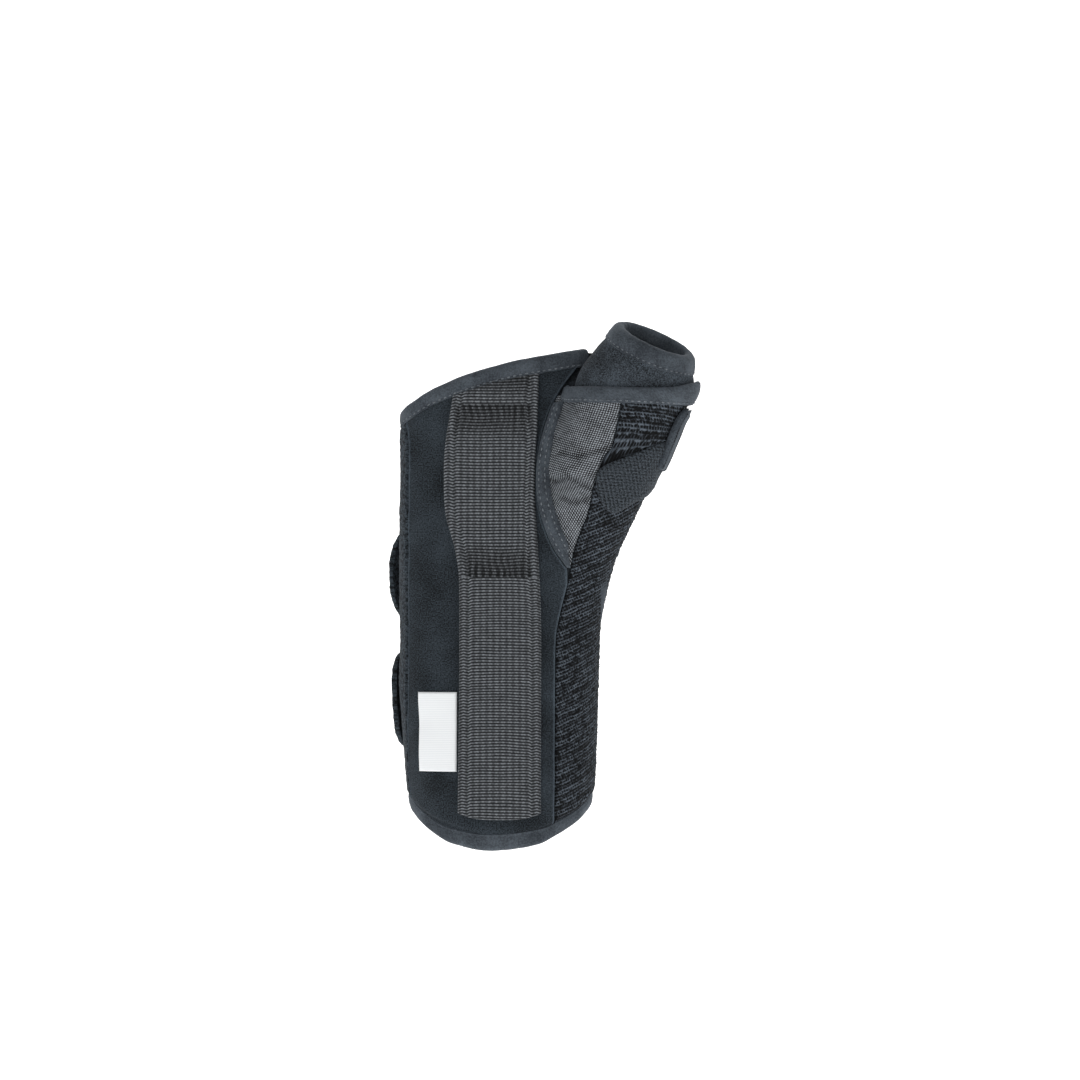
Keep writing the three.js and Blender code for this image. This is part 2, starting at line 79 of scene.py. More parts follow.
# place on the thumb sleeve's axis, then the same; the first row lets it die away inside the wrap
thumbSections = [
    [-0.3, 0, 0.3, 0, 0.3, 2],
    [0, 0, 0.83, 0, 0.8, 2],
    [0.24, 0, 0.885, 0, 0.92, 2],
    [0.49, 0, 0.932, 0, 1, 2.05],
    [0.64, 0.0, 0.96, 0, 0.975, 2.05],
    [0.78, -0.05, 1.005, 0, 0.945, 2.05],
    [0.9, 0.03, 0.965, 0, 0.9, 2.05],
    [1, 0, 0.786, 0, 0.8, 2],
]
# angle from the middle of the palm side round to the thumb side, height share
handEdge = [
    [-180, 0.83], [-130, 0.735], [-90, 0.705], [-60, 0.745], [-40, 0.812], [-20, 0.878], [0, 0.928],
    [25, 0.971], [50, 1], [75, 0.985], [95, 0.93], [130, 0.89], [180, 0.83],
]
forearmEdge = [
    [-180, -0.86], [-130, -0.85], [-90, -0.855], [-75, -0.878], [-62, -0.911], [-50, -0.943],
    [-36, -0.975], [-8, -1], [28, -0.98], [44, -0.945], [62, -0.902], [75, -0.872], [90, -0.853],
    [140, -0.85], [180, -0.86],
]
# outlines seen from the palm side: height share, place across in half breadths
rollLine = [
    [-0.03, 0.66], [-0.014, 0.634], [0.058, 0.531], [0.174, 0.44], [0.306, 0.377], [0.437, 0.366],
    [0.534, 0.387], [0.659, 0.45], [0.761, 0.531], [0.846, 0.63], [0.933, 0.76], [1.12, 1.0],
]
seamLine = [
    [-1.04, 0.521], [-0.945, 0.521], [-0.473, 0.531], [-0.268, 0.542], [-0.191, 0.581],
    [-0.089, 0.654], [-0.021, 0.694], [0.044, 0.725], [0.141, 0.796], [0.238, 0.877],
    [0.34, 0.919], [0.403, 0.961], [0.505, 1.042], [0.534, 1.1], [0.659, 1.165], [0.733, 1.194],
    [0.82, 1.209],
]
pocketLeft = [
    [-0.91, -0.42], [-0.071, -0.42], [0.058, -0.465], [0.219, -0.552], [0.427, -0.571],
    [0.577, -0.552], [0.815, -0.479], [1.0, -0.46],
]
pocketRight = [
    [-0.91, 0.377], [-0.141, 0.387], [0.112, 0.37], [0.325, 0.352], [0.577, 0.352], [1.0, 0.377],
]


def linearColor(hexCode):
    values = [int(hexCode[i : i + 2], 16) / 255 for i in (1, 3, 5)]
    return [v / 12.92 if v <= 0.04045 else ((v + 0.055) / 1.055) ** 2.4 for v in values] + [1.0]


def addObject(name, data):
    made = bpy.data.objects.new(name, data)
    bpy.context.collection.objects.link(made)
    return made


# Looks straight at the palm side from 2 m away; middle is the point of the splint it is aimed at.
camera = {"middle": (14.8, 7.8), "away": 2000.0, "lens": 170.9, "sensor": 36, "clipEnd": 50}


def placeCamera():
    data = bpy.data.cameras.new("camera")
    data.sensor_width = camera["sensor"]
    data.lens = camera["lens"]
    data.clip_end = camera["clipEnd"]
    made = addObject("camera", data)
    made.location = (camera["middle"][0] * mm, -camera["away"] * mm, camera["middle"][1] * mm)
    made.rotation_euler = (np.pi / 2, 0, 0)
    bpy.context.scene.camera = made
    bpy.context.scene.view_settings.view_transform = "Standard"


def smooth(value):
    t = np.clip(value, 0, 1)
    return t * t * (3 - 2 * t)


def hump(offset, half):
    return np.exp(-((offset / half) ** 2))


# Smooth values between the rows of a table; past its ends the end row holds.
def between(rows, key):
    rows = np.asarray(rows, float)
    key = np.asarray(key, float)
    x, y = rows[:, 0], rows[:, 1:]
    slope = np.zeros_like(y)
    slope[1:-1] = (y[2:] - y[:-2]) / (x[2:] - x[:-2])[:, None]
    i = np.clip(np.searchsorted(x, key) - 1, 0, len(x) - 2)
    span = (x[i + 1] - x[i])[..., None]
    t = np.clip((key - x[i])[..., None] / span, 0, 1)
    rise = slope[i] * span * t * (1 - t) ** 2 - slope[i + 1] * span * t * t * (1 - t)
    return y[i] + (y[i + 1] - y[i]) * smooth(t) + rise


def heightOf(share):
    share = np.asarray(share, float)
    return np.where(share < 0, share * splint["forearmReach"], share * splint["palmReach"])


def unit(vector):
    return vector / np.linalg.norm(vector, axis=-1, keepdims=True)


def makeSleeve():
    rows = np.array(sleeveSections, float)
    rows[:, 0] = heightOf(rows[:, 0])
    rows[:, 1:5] *= [splint["halfBreadth"]] * 2 + [splint["halfDepth"]] * 2
    return {"origin": np.zeros(3), "frame": np.array([[1, 0, 0], [0, -1, 0], [0, 0, 1.0]]), "rows": rows}


def makeThumb():
    rows = np.array(thumbSections, float)
    rows[:, 0] *= splint["thumbReach"]
    rows[:, 1:5] *= [splint["halfThumbBreadth"]] * 2 + [splint["halfThumbDepth"]] * 2
    lean, forward = np.tan(np.radians([splint["thumbLean"], splint["thumbForward"]]))
    axis = unit(np.array([lean, -forward, 1]))
    across = unit(np.array([1, 0, 0]) - axis * axis[0])
    sizes = [splint["halfBreadth"], splint["halfDepth"], splint["forearmReach"]]
    turned = np.array([across, np.cross(across, axis), axis])
    return {"origin": np.array(splint["thumbRoot"]) * sizes, "frame": turned, "rows": rows}


sleeve, thumb = makeSleeve(), makeThumb()


# Distance off a tube's outer face, true near the face
def tubeDistance(tube, points):
    local = (points - tube["origin"]) @ tube["frame"].T
    row = between(tube["rows"], local[..., 2])
    u = np.abs(local[..., 0] - row[..., 0]) / row[..., 1] + 1e-9
    v = np.abs(local[..., 1] - row[..., 2]) / row[..., 3] + 1e-9
    n = row[..., 4]
    r = (u**n + v**n) ** (1 / n)
    slope = np.hypot((u / r) ** (n - 1) / row[..., 1], (v / r) ** (n - 1) / row[..., 3])
    return (r - 1) / slope + np.maximum(0, tube["rows"][0, 0] - local[..., 2])


def skinDistance(points):
    wrap, branch = tubeDistance(sleeve, points), tubeDistance(thumb, points)
    fillet = splint["fillet"] * (1 - smooth((points[..., 2] - 58) / 18)) + 1.5
    h = np.clip(0.5 + 0.5 * (branch - wrap) / fillet, 0, 1)
    return branch + (wrap - branch) * h - fillet * h * (1 - h)


def gradient(points, step=0.05, axes=3):
    parts = []
    for k in range(axes):
        shift = np.zeros(3)
        shift[k] = step
        parts.append((skinDistance(points + shift) - skinDistance(points - shift)) / (2 * step))
    return np.stack(parts, -1)


# Moves points on to the level that is this far off the foam's outer face; two axes keep the height.
def settle(points, level, axes=3):
    points = np.array(points, float)
    for _ in range(3):
        slope = gradient(points, axes=axes)
        off = (skinDistance(points) - level)[..., None]
        points[..., :axes] -= off * slope / np.maximum((slope**2).sum(-1, keepdims=True), 0.2)
    return points


# Follows the outer face round at each height, both ways from the middle of the palm side.
def followFace(lowest=-114.0, highest=84.0, step=0.7, count=252):
    heights = np.arange(lowest, highest + 0.5, 1.0)
    start = np.stack([0 * heights, 0 * heights - 26, heights], -1)
    sides = []
    for way in (1, -1):
        points = settle(start, 0.0, axes=2)
        run = [points.copy()]
        for _ in range(count):
            slope = unit(gradient(points, axes=2))
            points[:, 0] -= way * step * slope[:, 1]
            points[:, 1] += way * step * slope[:, 0]
            points = settle(points, 0.0, axes=2)
            run.append(points.copy())
        sides.append(run)
    points = np.stack(sides[1][:0:-1] + sides[0], 1)
    arcs = (np.arange(points.shape[1]) - count) * step
    normals = unit(gradient(points, 0.25))
    return {"heights": heights, "arcs": arcs, "points": points, "normals": normals, "step": step}


face = followFace()
print("outer face followed", face["points"].shape)


# Point over the foam's outer face from its arc, its height and its level off that face
def skin(arc, height, level=0.0):
    arc, height, level = np.broadcast_arrays(arc, height, level)
    rows, columns = face["points"].shape[:2]
    i = np.clip(height - face["heights"][0], 0, rows - 1.001)
    j = np.clip((arc - face["arcs"][0]) / face["step"], 0, columns - 1.001)
    i0, j0 = i.astype(int), j.astype(int)
    fi, fj = (i - i0)[..., None], (j - j0)[..., None]

    def pick(table):
        low = table[i0, j0] * (1 - fj) + table[i0, j0 + 1] * fj
        high = table[i0 + 1, j0] * (1 - fj) + table[i0 + 1, j0 + 1] * fj
        return low * (1 - fi) + high * fi

    return pick(face["points"]) + unit(pick(face["normals"])) * level[..., None]


def angleAt(points):
    row = between(sleeve["rows"], points[..., 2])
    across = (points[..., 0] - row[..., 0]) / row[..., 1]
    return np.degrees(np.arctan2(across, (-points[..., 1] - row[..., 2]) / row[..., 3]))


def overRows(arcs):
    arcs = np.asarray(arcs)
    return lambda height: np.interp(height, face["heights"], arcs)


# Arc of a line drawn on the palm side, with an optional shift along the arc
def frontArc(line, shift=0.0, share=True):
    rows = np.array(line, float)
    if share:
        rows[:, 0] = heightOf(rows[:, 0])
        rows[:, 1] *= splint["halfBreadth"]
    wanted = between(rows, face["heights"])[:, 0]
    middle = len(face["arcs"]) // 2
    found = []
    for x, target in zip(face["points"][:, :, 0], wanted):
        left, right = x[: middle + 1].argmin(), middle + x[middle:].argmax()
        found.append(np.interp(target, x[left : right + 1], face["arcs"][left : right + 1]) + shift)
    return overRows(found)


# Arc where the back reaches a place across, round the little-finger side (-1) or the thumb side (1)
def backArc(target, way):
    middle = len(face["arcs"]) // 2
    wanted = target if np.ndim(target) else np.full(len(face["heights"]), float(target))
    found = []
    for points, x0 in zip(face["points"], wanted):
        x = points[middle::way, 0] * way
        y = points[middle::way, 1]
        past = np.nonzero((x < x0 * way) & (y > 0))[0]
        past = past[past > x.argmax()]
        i = past[0] if len(past) else len(x) - 1
        t = (x[i - 1] - x0 * way) / max(x[i - 1] - x[i], 1e-6)
        found.append(way * face["step"] * (i - 1 + np.clip(t, 0, 1)))
    return overRows(found)


# Arc where the thumb sleeve leaves the wrap, on the palm side (1) or the back (-1)
def creaseArc(way):
    middle = len(face["arcs"]) // 2
    off = tubeDistance(thumb, face["points"]) - tubeDistance(sleeve, face["points"])
    found = []
    for row in off[:, middle::way]:
        met = np.nonzero(row < 0.3)[0]
        found.append(way * face["step"] * (met[0] if len(met) else row.argmin()))
    found = np.array(found)
    return overRows(np.convolve(np.pad(found, 2, "edge"), np.ones(5) / 5, "valid"))


# Arc of the place this far across, at every height of the palm side
def acrossArc(x):
    return frontArc([[-200, x], [200, x]], share=False)


seamArc = frontArc(seamLine)
rollArc = frontArc(rollLine)
frontCrease, backCrease = creaseArc(1), creaseArc(-1)


def edgeHeight(edge, reach, inset=0.0):
    return lambda arc, height, u: between(edge, angleAt(skin(arc, height)))[..., 0] * reach + inset


forearmEnd = edgeHeight(forearmEdge, splint["forearmReach"])
handEnd = edgeHeight(handEdge, splint["palmReach"])


def flat(value):
    return lambda *_: value


# Grid of arcs and heights between two side lines and two end lines
def clothGrid(left, right, low, high, columns, rows):
    u = np.linspace(0, 1, columns + 1)
    v = np.linspace(0, 1, rows + 1)[:, None]
    ends = []
    for edge, start in ((low, -100.0), (high, 60.0)):
        height = np.full(columns + 1, start)
        for _ in range(12):
            arc = left(height) + (right(height) - left(height)) * u
            height = 0.5 * height + 0.5 * (edge(arc, height, u) if callable(edge) else edge)
        ends.append(height)
    height = ends[0] + (ends[1] - ends[0]) * v
    arc = left(height) + (right(height) - left(height)) * u
    return arc, height


# Slow unevenness from -1 to 1 over lumps of this size in mm
def wander(seed, across, up, size):
    lattice = np.random.default_rng(seed).uniform(-1, 1, (97, 97))
    x, y = np.asarray(across) / size + 40, np.asarray(up) / size + 40
    i, j = np.floor(x).astype(int), np.floor(y).astype(int)
    fx, fy = smooth(x - i), smooth(y - j)
    pick = lambda a, b: lattice[(i + a) % 97, (j + b) % 97]
    low = pick(0, 0) * (1 - fx) + pick(1, 0) * fx
    return low * (1 - fy) + (pick(0, 1) * (1 - fx) + pick(1, 1) * fx) * fy


# Depth of a soft crease along a line of (across, height) corners on the palm side
def crease(points, corners, width):
    x, z = points[..., 0], points[..., 2]
    near = np.full(x.shape, 1e9)
    for (x0, z0), (x1, z1) in zip(corners[:-1], corners[1:]):
        dx, dz = x1 - x0, z1 - z0
        t = np.clip(((x - x0) * dx + (z - z0) * dz) / (dx * dx + dz * dz), 0, 1)
        near = np.minimum(near, np.hypot(x - x0 - t * dx, z - z0 - t * dz))
    return hump(near, width)


pieces = {}


# The material is the one of the slot, unless a finish names another; cloth is its pattern's place.
def addPiece(name, points, faces, slot, node=None, cloth=None, recalc=False, sharp=55, finish=None):
    mesh = bpy.data.meshes.new(name)
    mesh.from_pydata((np.asarray(points) * mm).tolist(), [], faces)
    mesh.polygons.foreach_set("use_smooth", [True] * len(mesh.polygons))
    if recalc:
        shape = bmesh.new()
        shape.from_mesh(mesh)
        bmesh.ops.recalc_face_normals(shape, faces=shape.faces)
        shape.to_mesh(mesh)
        shape.free()
    mesh.set_sharp_from_angle(angle=np.radians(sharp))
    pattern = mesh.attributes.new("cloth", "FLOAT_VECTOR", "POINT")
    pattern.data.foreach_set("vector", np.asarray(points if cloth is None else cloth, float).ravel())
    mesh.materials.append(materials[finish or slot])
    made = addObject(name, mesh)
    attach(made, "root")
    if node:
        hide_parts(node)
    pieces[name] = made
    return made


# Closed cloth: a fine outer face, a coarser inner one and walls fanned between their borders
def closeCloth(top, base, stride):
    rows, columns = top.shape[:2]
    fine = np.arange(rows * columns).reshape(rows, columns)
    under = base[::stride, ::stride]
    coarse = rows * columns + np.arange(under.shape[0] * under.shape[1]).reshape(under.shape[:2])
    points = np.concatenate([top.reshape(-1, 3), under.reshape(-1, 3)])
    quads = lambda g: np.stack([g[:-1, :-1], g[:-1, 1:], g[1:, 1:], g[1:, :-1]], -1).reshape(-1, 4)
    faces = quads(fine).tolist() + quads(coarse)[:, ::-1].tolist()
    turns = lambda g: [side.tolist() for side in (g[0], g[:, -1], g[-1, ::-1], g[::-1, 0])]
    for edge, back in zip(turns(fine), turns(coarse)):
        for k in range(len(back) - 1):
            faces += [[edge[i + 1], edge[i], back[k]] for i in range(k * stride, (k + 1) * stride)]
            faces.append([back[k], back[k + 1], edge[(k + 1) * stride]])
    return points, faces


# Points and faces of several closed forms as one
def joined(forms):
    points, faces = [], []
    for made, sides in forms:
        first = sum(len(p) for p in points)
        points.append(made)
        faces += [[first + i for i in side] for side in sides]
    return np.concatenate(points), faces


def sideDistance(arc):
    return np.minimum(arc - arc[:, :1], arc[:, -1:] - arc)


# Share of the way from the cloth's left side to its right side
def acrossShare(arc):
    return (arc - arc[:, :1]) / (arc[:, -1:] - arc[:, :1])


# Cloth is thin at its border, and pressed flat where a binding is folded over its low or high end.
pressedUnder = {"reach": 4.6, "over": 1.6, "border": 0.3, "pressed": 0.2}


def clothLevel(arc, height, low, high, relief, border, ends):
    fromEnds = np.minimum(height - height[:1], height[-1:] - height)
    soft = smooth(0.15 + np.minimum(sideDistance(arc), fromEnds) / border)
    room = np.full(height.shape, 99.0)
    if "low" in ends:
        room = np.minimum(room, height - height[:1])
    if "high" in ends:
        room = np.minimum(room, height[-1:] - height)
    press = smooth((room - pressedUnder["reach"]) / pressedUnder["over"])
    thin, flattened = pressedUnder["border"], pressedUnder["pressed"]
    wall = (high - low) * (thin + (1 - thin) * soft) * (flattened + (1 - flattened) * press)
    return low + wall + relief * soft * press


# Says how large a piece of cloth was cut: its outer face, rolled out flat.
def cutCloth(made, outer, more=None):
    width, length, area = 0.0, 0.0, 0.0
    for part in (outer, more):
        if part is None:
            continue
        across, along = np.diff(part, axis=1), np.diff(part, axis=0)
        width = width or np.linalg.norm(across, axis=-1).sum(1).max() * mm
        length += np.linalg.norm(along, axis=-1).sum(0).max() * mm
        area += np.linalg.norm(np.cross(across[:-1], along[:, :-1]), axis=-1).sum() * mm * mm
    print(f"{made.name}: cut {width / mm:.0f} by {length / mm:.0f} mm, {area / mm / mm:.0f} mm2")


# The pattern's place at every point of closed cloth, outer face first
def clothPlaces(pattern, stride):
    return np.concatenate([pattern.reshape(-1, 3), pattern[::stride, ::stride].reshape(-1, 3)])


# Lays cloth from one level to another over the face; relief is added to its outer face.
def layCloth(name, node, slot, grid, levels, relief=0.0, pattern=None, stride=4, border=1.2, sharp=55,
             lift=0.0, ends="", rests="wrap_foam"):
    arc, height = grid
    level = clothLevel(arc, height, levels[0], levels[1], relief, border, ends)
    top, base = skin(arc, height, level + lift), skin(arc, height, levels[0] + lift)
    pattern = np.stack([arc, height, 0 * arc], -1) if pattern is None else pattern
    places = clothPlaces(pattern, stride)
    made = addPiece(name, *closeCloth(top, base, stride), slot, node, places, sharp=sharp)
    if rests:
        cutCloth(made, top)


# Closed rings joined into one form, round in a circle or with flat ends
def joinRings(rings, closed):
    count, n = rings.shape[:2]
    faces = []
    for j in range(count if closed else count - 1):
        k = (j + 1) % count
        faces += [[j * n + i, j * n + (i + 1) % n, k * n + (i + 1) % n, k * n + i] for i in range(n)]
    if not closed:
        faces += [list(range(n)), list(range((count - 1) * n, count * n))[::-1]]
    return rings.reshape(-1, 3), faces


# Closed profile swept along stations; the profile holds (out, past) for each station.
def sweepTape(stations, profiles, closed):
    point, normal, past = stations
    rings = point[:, None] + normal[:, None] * profiles[..., :1] + past[:, None] * profiles[..., 1:]
    return joinRings(rings, closed)


# Profile of a tape folded over an edge: outer and inner leg round the held layers
def foldedTape(outer, inner, leg, wall, nose, dip=0.3):
    turn = np.linspace(0, np.pi, 9)
    middle, half = (outer + inner) / 2, (outer - inner) / 2
    out = [[outer, -leg], [outer + 0.75 * wall, -leg + 0.4], [outer + dip * wall, -leg + 1.0],
           [outer + 0.9 * wall, -leg + 1.7], [outer + 1.1 * wall, -leg * 0.5]]
    out += [[middle + (half + wall) * np.cos(t), -0.6 + (nose + wall + 0.6) * np.sin(t)] for t in turn]
    out += [[inner - 1.1 * wall, -leg * 0.5], [inner - 0.75 * wall, -leg + 0.5], [inner, -leg]]
    out += [[middle + half * np.cos(t), -0.9 + (nose + 0.6) * np.sin(t)] for t in turn[::-1]]
    return np.array(out)


stitch = {"length": 1.3, "pitch": 2.4, "radius": 0.27}


# Short sewn stitches along a line, each a closed six-sided grain
def sewLine(points, normals):
    pitch, length = stitch["pitch"], stitch["length"]
    run = np.concatenate([[0], np.cumsum(np.linalg.norm(np.diff(points, axis=0), axis=1))])
    centres = np.arange(pitch / 2, run[-1] - pitch / 2, pitch)
    at = lambda s, table: np.stack([np.interp(s, run, table[:, k]) for k in range(3)], -1)
    turn = np.arange(6) * np.pi / 3
    ends = [(-0.5, 0.0), (-0.38, 0.75), (0, 1.0), (0.38, 0.75), (0.5, 0.0)]
    out, faces = [], []
    for s in centres:
        normal = unit(at(s, normals))
        along = unit(at(s + 0.4, points) - at(s - 0.4, points))
        side = np.cross(along, normal)
        first = len(out)
        for share, wide in ends:
            spot = at(s + share * length, points)
            if wide == 0:
                out.append(spot - normal * stitch["radius"] * 0.6)
                continue
            for t in turn:
                out.append(spot + stitch["radius"] * wide * (side * np.cos(t) * 1.1 + normal * np.sin(t)))
        for i in range(6):
            k = (i + 1) % 6
            faces.append([first, first + 1 + i, first + 1 + k])
            for ring in (1, 7):
                low, high = first + ring, first + ring + 6
                faces.append([low + i, high + i, high + k, low + k])
            faces.append([first + 19, first + 13 + k, first + 13 + i])
    return np.array(out), faces


def sewAll(name, lines, slot):
    stitches = joined([sewLine(line, normals) for line, normals in lines])
    addPiece(name, *stitches, slot, finish="thread", recalc=True)


def skinLine(arc, height, level):
    points = skin(arc, height, level)
    return points, unit(skin(arc, height, level + 1) - points)


# Adds a node: values fill its sockets in order, capitalised names the sockets of that name.
def addNode(tree, kind, *values, **settings):
    made = tree.nodes.new("ShaderNode" + kind)
    sockets = dict(enumerate(values))
    for key, value in settings.items():
        if key[0].isupper():
            sockets[key] = value
        else:
            setattr(made, key, value)
    for key, value in sockets.items():
        if isinstance(value, bpy.types.NodeSocket):
            tree.links.new(value, made.inputs[key])
        else:
            made.inputs[key].default_value = value
    return made.outputs[0]


def startMaterial(name, roughness, sheen, sheenTint="#9aa4ae"):
    material = bpy.data.materials.new(name)
    material.use_nodes = True
    tree = material.node_tree
    values = {"Roughness": roughness, "Sheen Weight": sheen, "Sheen Roughness": 0.5,
              "Sheen Tint": linearColor(sheenTint), "Specular IOR Level": 0.25, "IOR": 1.5}
    for socket, value in values.items():
        tree.nodes["Principled BSDF"].inputs[socket].default_value = value
    add = partial(addNode, tree)
    return material, add, add("Attribute", attribute_name="cloth").node.outputs["Vector"]


# Soft waves, one for each turn of the value, from 0 to 1 unless swing and middle say otherwise
def waves(add, value, turns=1.0, swing=0.5, middle=0.5):
    angle = add("Math", value, turns * 2 * np.pi, operation="MULTIPLY")
    sine = add("Math", angle, operation="SINE")
    return add("Math", sine, swing, middle, operation="MULTIPLY_ADD")


# Colours run from dark to light over the pattern's spread; bump is a strength and a depth in mm.
def finishMaterial(material, pattern, colors, spread, relief, bump):
    tree = material.node_tree
    add, shader = partial(addNode, tree), tree.nodes["Principled BSDF"]
    share = add("MapRange", pattern, *spread)
    dark, light = (linearColor(color) for color in colors)
    mixed = add("Mix", Factor=share, A=dark, B=light, data_type="RGBA")
    tree.links.new(mixed.node.outputs[2], shader.inputs["Base Color"])
    normal = add("Bump", Strength=bump[0], Distance=bump[1] * mm, Height=relief)
    tree.links.new(normal, shader.inputs["Normal"])
    return material


# A dull knit: its brushed face breaks up the light, so it shows no shine and only fine specks
# and slow clouds. Grain is specks a mm; a welted one is lighter where its edge is pressed up.
def speckledKnit(name, colors, grain, welted=False):
    material, add, cloth = startMaterial(name, 0.95, 0.08)
    fine = add("TexNoise", Vector=cloth, Scale=grain, Detail=2.0)
    broad = add("TexNoise", Vector=cloth, Scale=0.05, Detail=2.0)
    specks = add("Math", fine, 0.65, operation="MULTIPLY")
    both = add("Math", broad, 0.35, specks, operation="MULTIPLY_ADD")
    if welted:
        _, _, welt = add("SeparateXYZ", cloth).node.outputs
        both = add("Math", welt, 0.35, both, operation="MULTIPLY_ADD")
    return finishMaterial(material, both, colors, (0.38, 0.85 if welted else 0.62), fine, (0.5, 0.25))


# Napped loop pile: brushed loops stand in clumps that catch the light, with dark hollows between.
# Pitch is from clump to clump in mm, about twice the real one, so that it shows.
def napPile(name, colors, pitch):
    material, add, cloth = startMaterial(name, 0.97, 0.06)
    clump = add("TexVoronoi", Vector=cloth, Scale=1 / pitch, Randomness=0.9)
    fine = add("TexNoise", Vector=cloth, Scale=2.2, Detail=3.0)
    hollow = add("Math", clump, 0.55, operation="MULTIPLY")
    both = add("Math", fine, hollow, operation="SUBTRACT")
    return finishMaterial(material, both, colors, (0.0, 0.5), both, (0.8, 0.5))


# Loop pile knitted in slanting ribs: rows of upright loops show as broken light lines with ticks
# between them on a near black ground. cloth holds rib count, tick count and how strongly both show.
def ribbedPile(name, colors):
    material, add, cloth = startMaterial(name, 0.97, 0.08)
    rib, tick, shown = add("SeparateXYZ", cloth).node.outputs
    grain = add("TexNoise", Vector=cloth, Scale=1.3, Detail=2.0)
    shaken = add("Math", grain, 0.7, rib, operation="MULTIPLY_ADD")
    shifted = add("Math", grain, 0.9, tick, operation="MULTIPLY_ADD")
    ladder = add("Math", waves(add, shifted), 0.75, operation="MULTIPLY")
    loops = add("Math", waves(add, shaken), ladder, operation="MAXIMUM")
    third = waves(add, shaken, 1 / 3, 0.18, 0.8)
    broad = add("TexNoise", Vector=cloth, Scale=0.35, Detail=2.0)
    cloudy = add("Math", broad, 0.9, 0.35, operation="MULTIPLY_ADD")
    broken = add("Math", grain, 2.8, -0.45, operation="MULTIPLY_ADD")
    for share in (third, cloudy, broken):
        loops = add("Math", loops, share, operation="MULTIPLY")
    plain = add("Math", grain, 0.3, 0.4, operation="MULTIPLY_ADD")
    over = add("Math", loops, plain, operation="SUBTRACT")
    height = add("Math", shown, over, plain, operation="MULTIPLY_ADD")
    return finishMaterial(material, height, colors, (0.28, 0.86), height, (0.6, 0.4))


# Knitted elastic: thin light ribs of knots stand in columns on a dark ground, 1.22 mm from knot to
# knot. cloth holds the place across, the rib count and the painted shade of the gathers, which hides
# the ribs.
def elasticRibs(name, colors, knot):
    material, add, cloth = startMaterial(name, 0.85, 0.06)
    along, rib, paintedShade = add("SeparateXYZ", cloth).node.outputs
    fine = add("TexNoise", Vector=cloth, Scale=1.2, Detail=2.0)
    shaken = add("Math", fine, 0.25, rib, operation="MULTIPLY_ADD")
    mixed = add("Math", waves(add, shaken), 1.6, operation="POWER")
    early = add("Math", rib, 0.25, operation="ADD")
    row = add("Math", early, operation="FLOOR")
    shifted = add("Math", fine, 0.7, along, operation="MULTIPLY_ADD")
    shifted = add("Math", row, knot / 2, shifted, operation="MULTIPLY_ADD")
    knots = waves(add, shifted, 1 / knot, 0.225, 0.775)
    columns = waves(add, along, 1 / 2.42, 0.3, 0.7)
    worn = add("TexNoise", Vector=cloth, Scale=0.3, Detail=3.0)
    faded = add("Math", worn, 1.2, 0.4, operation="MULTIPLY_ADD")
    for share in (knots, columns, faded):
        mixed = add("Math", mixed, share, operation="MULTIPLY")
    mixed = add("Math", fine, 0.18, mixed, operation="MULTIPLY_ADD")
    # painted shade of the gathers: the colour goes toward the dark end there
    clear = add("Math", 1.0, paintedShade, operation="SUBTRACT")
    mixed = add("Math", mixed, clear, operation="MULTIPLY")
    return finishMaterial(material, mixed, colors, (0.05, 0.78), mixed, (0.5, 0.3))


# Coarse plain weave of shiny nylon: a light knot wherever two yarns cross, and a slight sheen.
# cloth holds the places across warp and weft and the painted shade in the creases, which darkens them.
def plainWeave(name, colors, pitch):
    material, add, cloth = startMaterial(name, 0.62, 0.05)
    warp, weft, paintedShade = add("SeparateXYZ", cloth).node.outputs
    fine = add("TexNoise", Vector=cloth, Scale=1.6, Detail=2.0)
    worn = add("TexNoise", Vector=cloth, Scale=0.2, Detail=3.0)
    mixed = add("Math", worn, 1.6, 0.4, operation="MULTIPLY_ADD")
    for yarn in (warp, weft):
        shaken = add("Math", fine, 0.35, yarn, operation="MULTIPLY_ADD")
        mixed = add("Math", mixed, waves(add, shaken, 1 / pitch), operation="MULTIPLY")
    mixed = add("Math", worn, 0.2, mixed, operation="MULTIPLY_ADD")
    # painted shade: the creases darken the weave's colour
    mixed = add("Math", mixed, paintedShade, operation="SUBTRACT")
    return finishMaterial(material, mixed, colors, (0.12, 0.88), mixed, (0.5, 0.3))


# Smooth folded stretch tape: fine filament yarn gives a soft even sheen with faint clouds.
def foldedStretchTape(name, colors):
    material, add, cloth = startMaterial(name, 0.88, 0.2)
    fine = add("TexNoise", Vector=cloth, Scale=1.6, Detail=2.0)
    broad = add("TexNoise", Vector=cloth, Scale=0.12, Detail=2.0)
    half = add("Math", fine, 0.5, operation="MULTIPLY")
    both = add("Math", broad, 0.5, half, operation="MULTIPLY_ADD")
    return finishMaterial(material, both, colors, (0.36, 0.64), fine, (0.35, 0.2))


# Dense warp knit with a nap: low rows and columns of small stitches, blurred by short hairs
def warpKnit(name, colors, row, column):
    material, add, cloth = startMaterial(name, 0.93, 0.08)
    across, up, _ = add("SeparateXYZ", cloth).node.outputs
    fine = add("TexNoise", Vector=cloth, Scale=1.9, Detail=3.0)
    mixed = fine
    for place, pitch, depth in ((up, row, 0.05), (across, column, 0.06)):
        shaken = add("Math", fine, 0.8, place, operation="MULTIPLY_ADD")
        mixed = add("Math", mixed, waves(add, shaken, 1 / pitch, depth, 0.0), operation="ADD")
    return finishMaterial(material, mixed, colors, (0.36, 0.66), mixed, (0.6, 0.35))


# Satin tape: long floats of shiny white yarn give a smooth face with faint cross ribs.
def satinTape(name, colors, pitch):
    material, add, cloth = startMaterial(name, 0.55, 0.1, "#ffffff")
    _, up, _ = add("SeparateXYZ", cloth).node.outputs
    ribs = waves(add, up, 1 / pitch)
    return finishMaterial(material, ribs, colors, (0.0, 1.0), ribs, (0.2, 0.1))


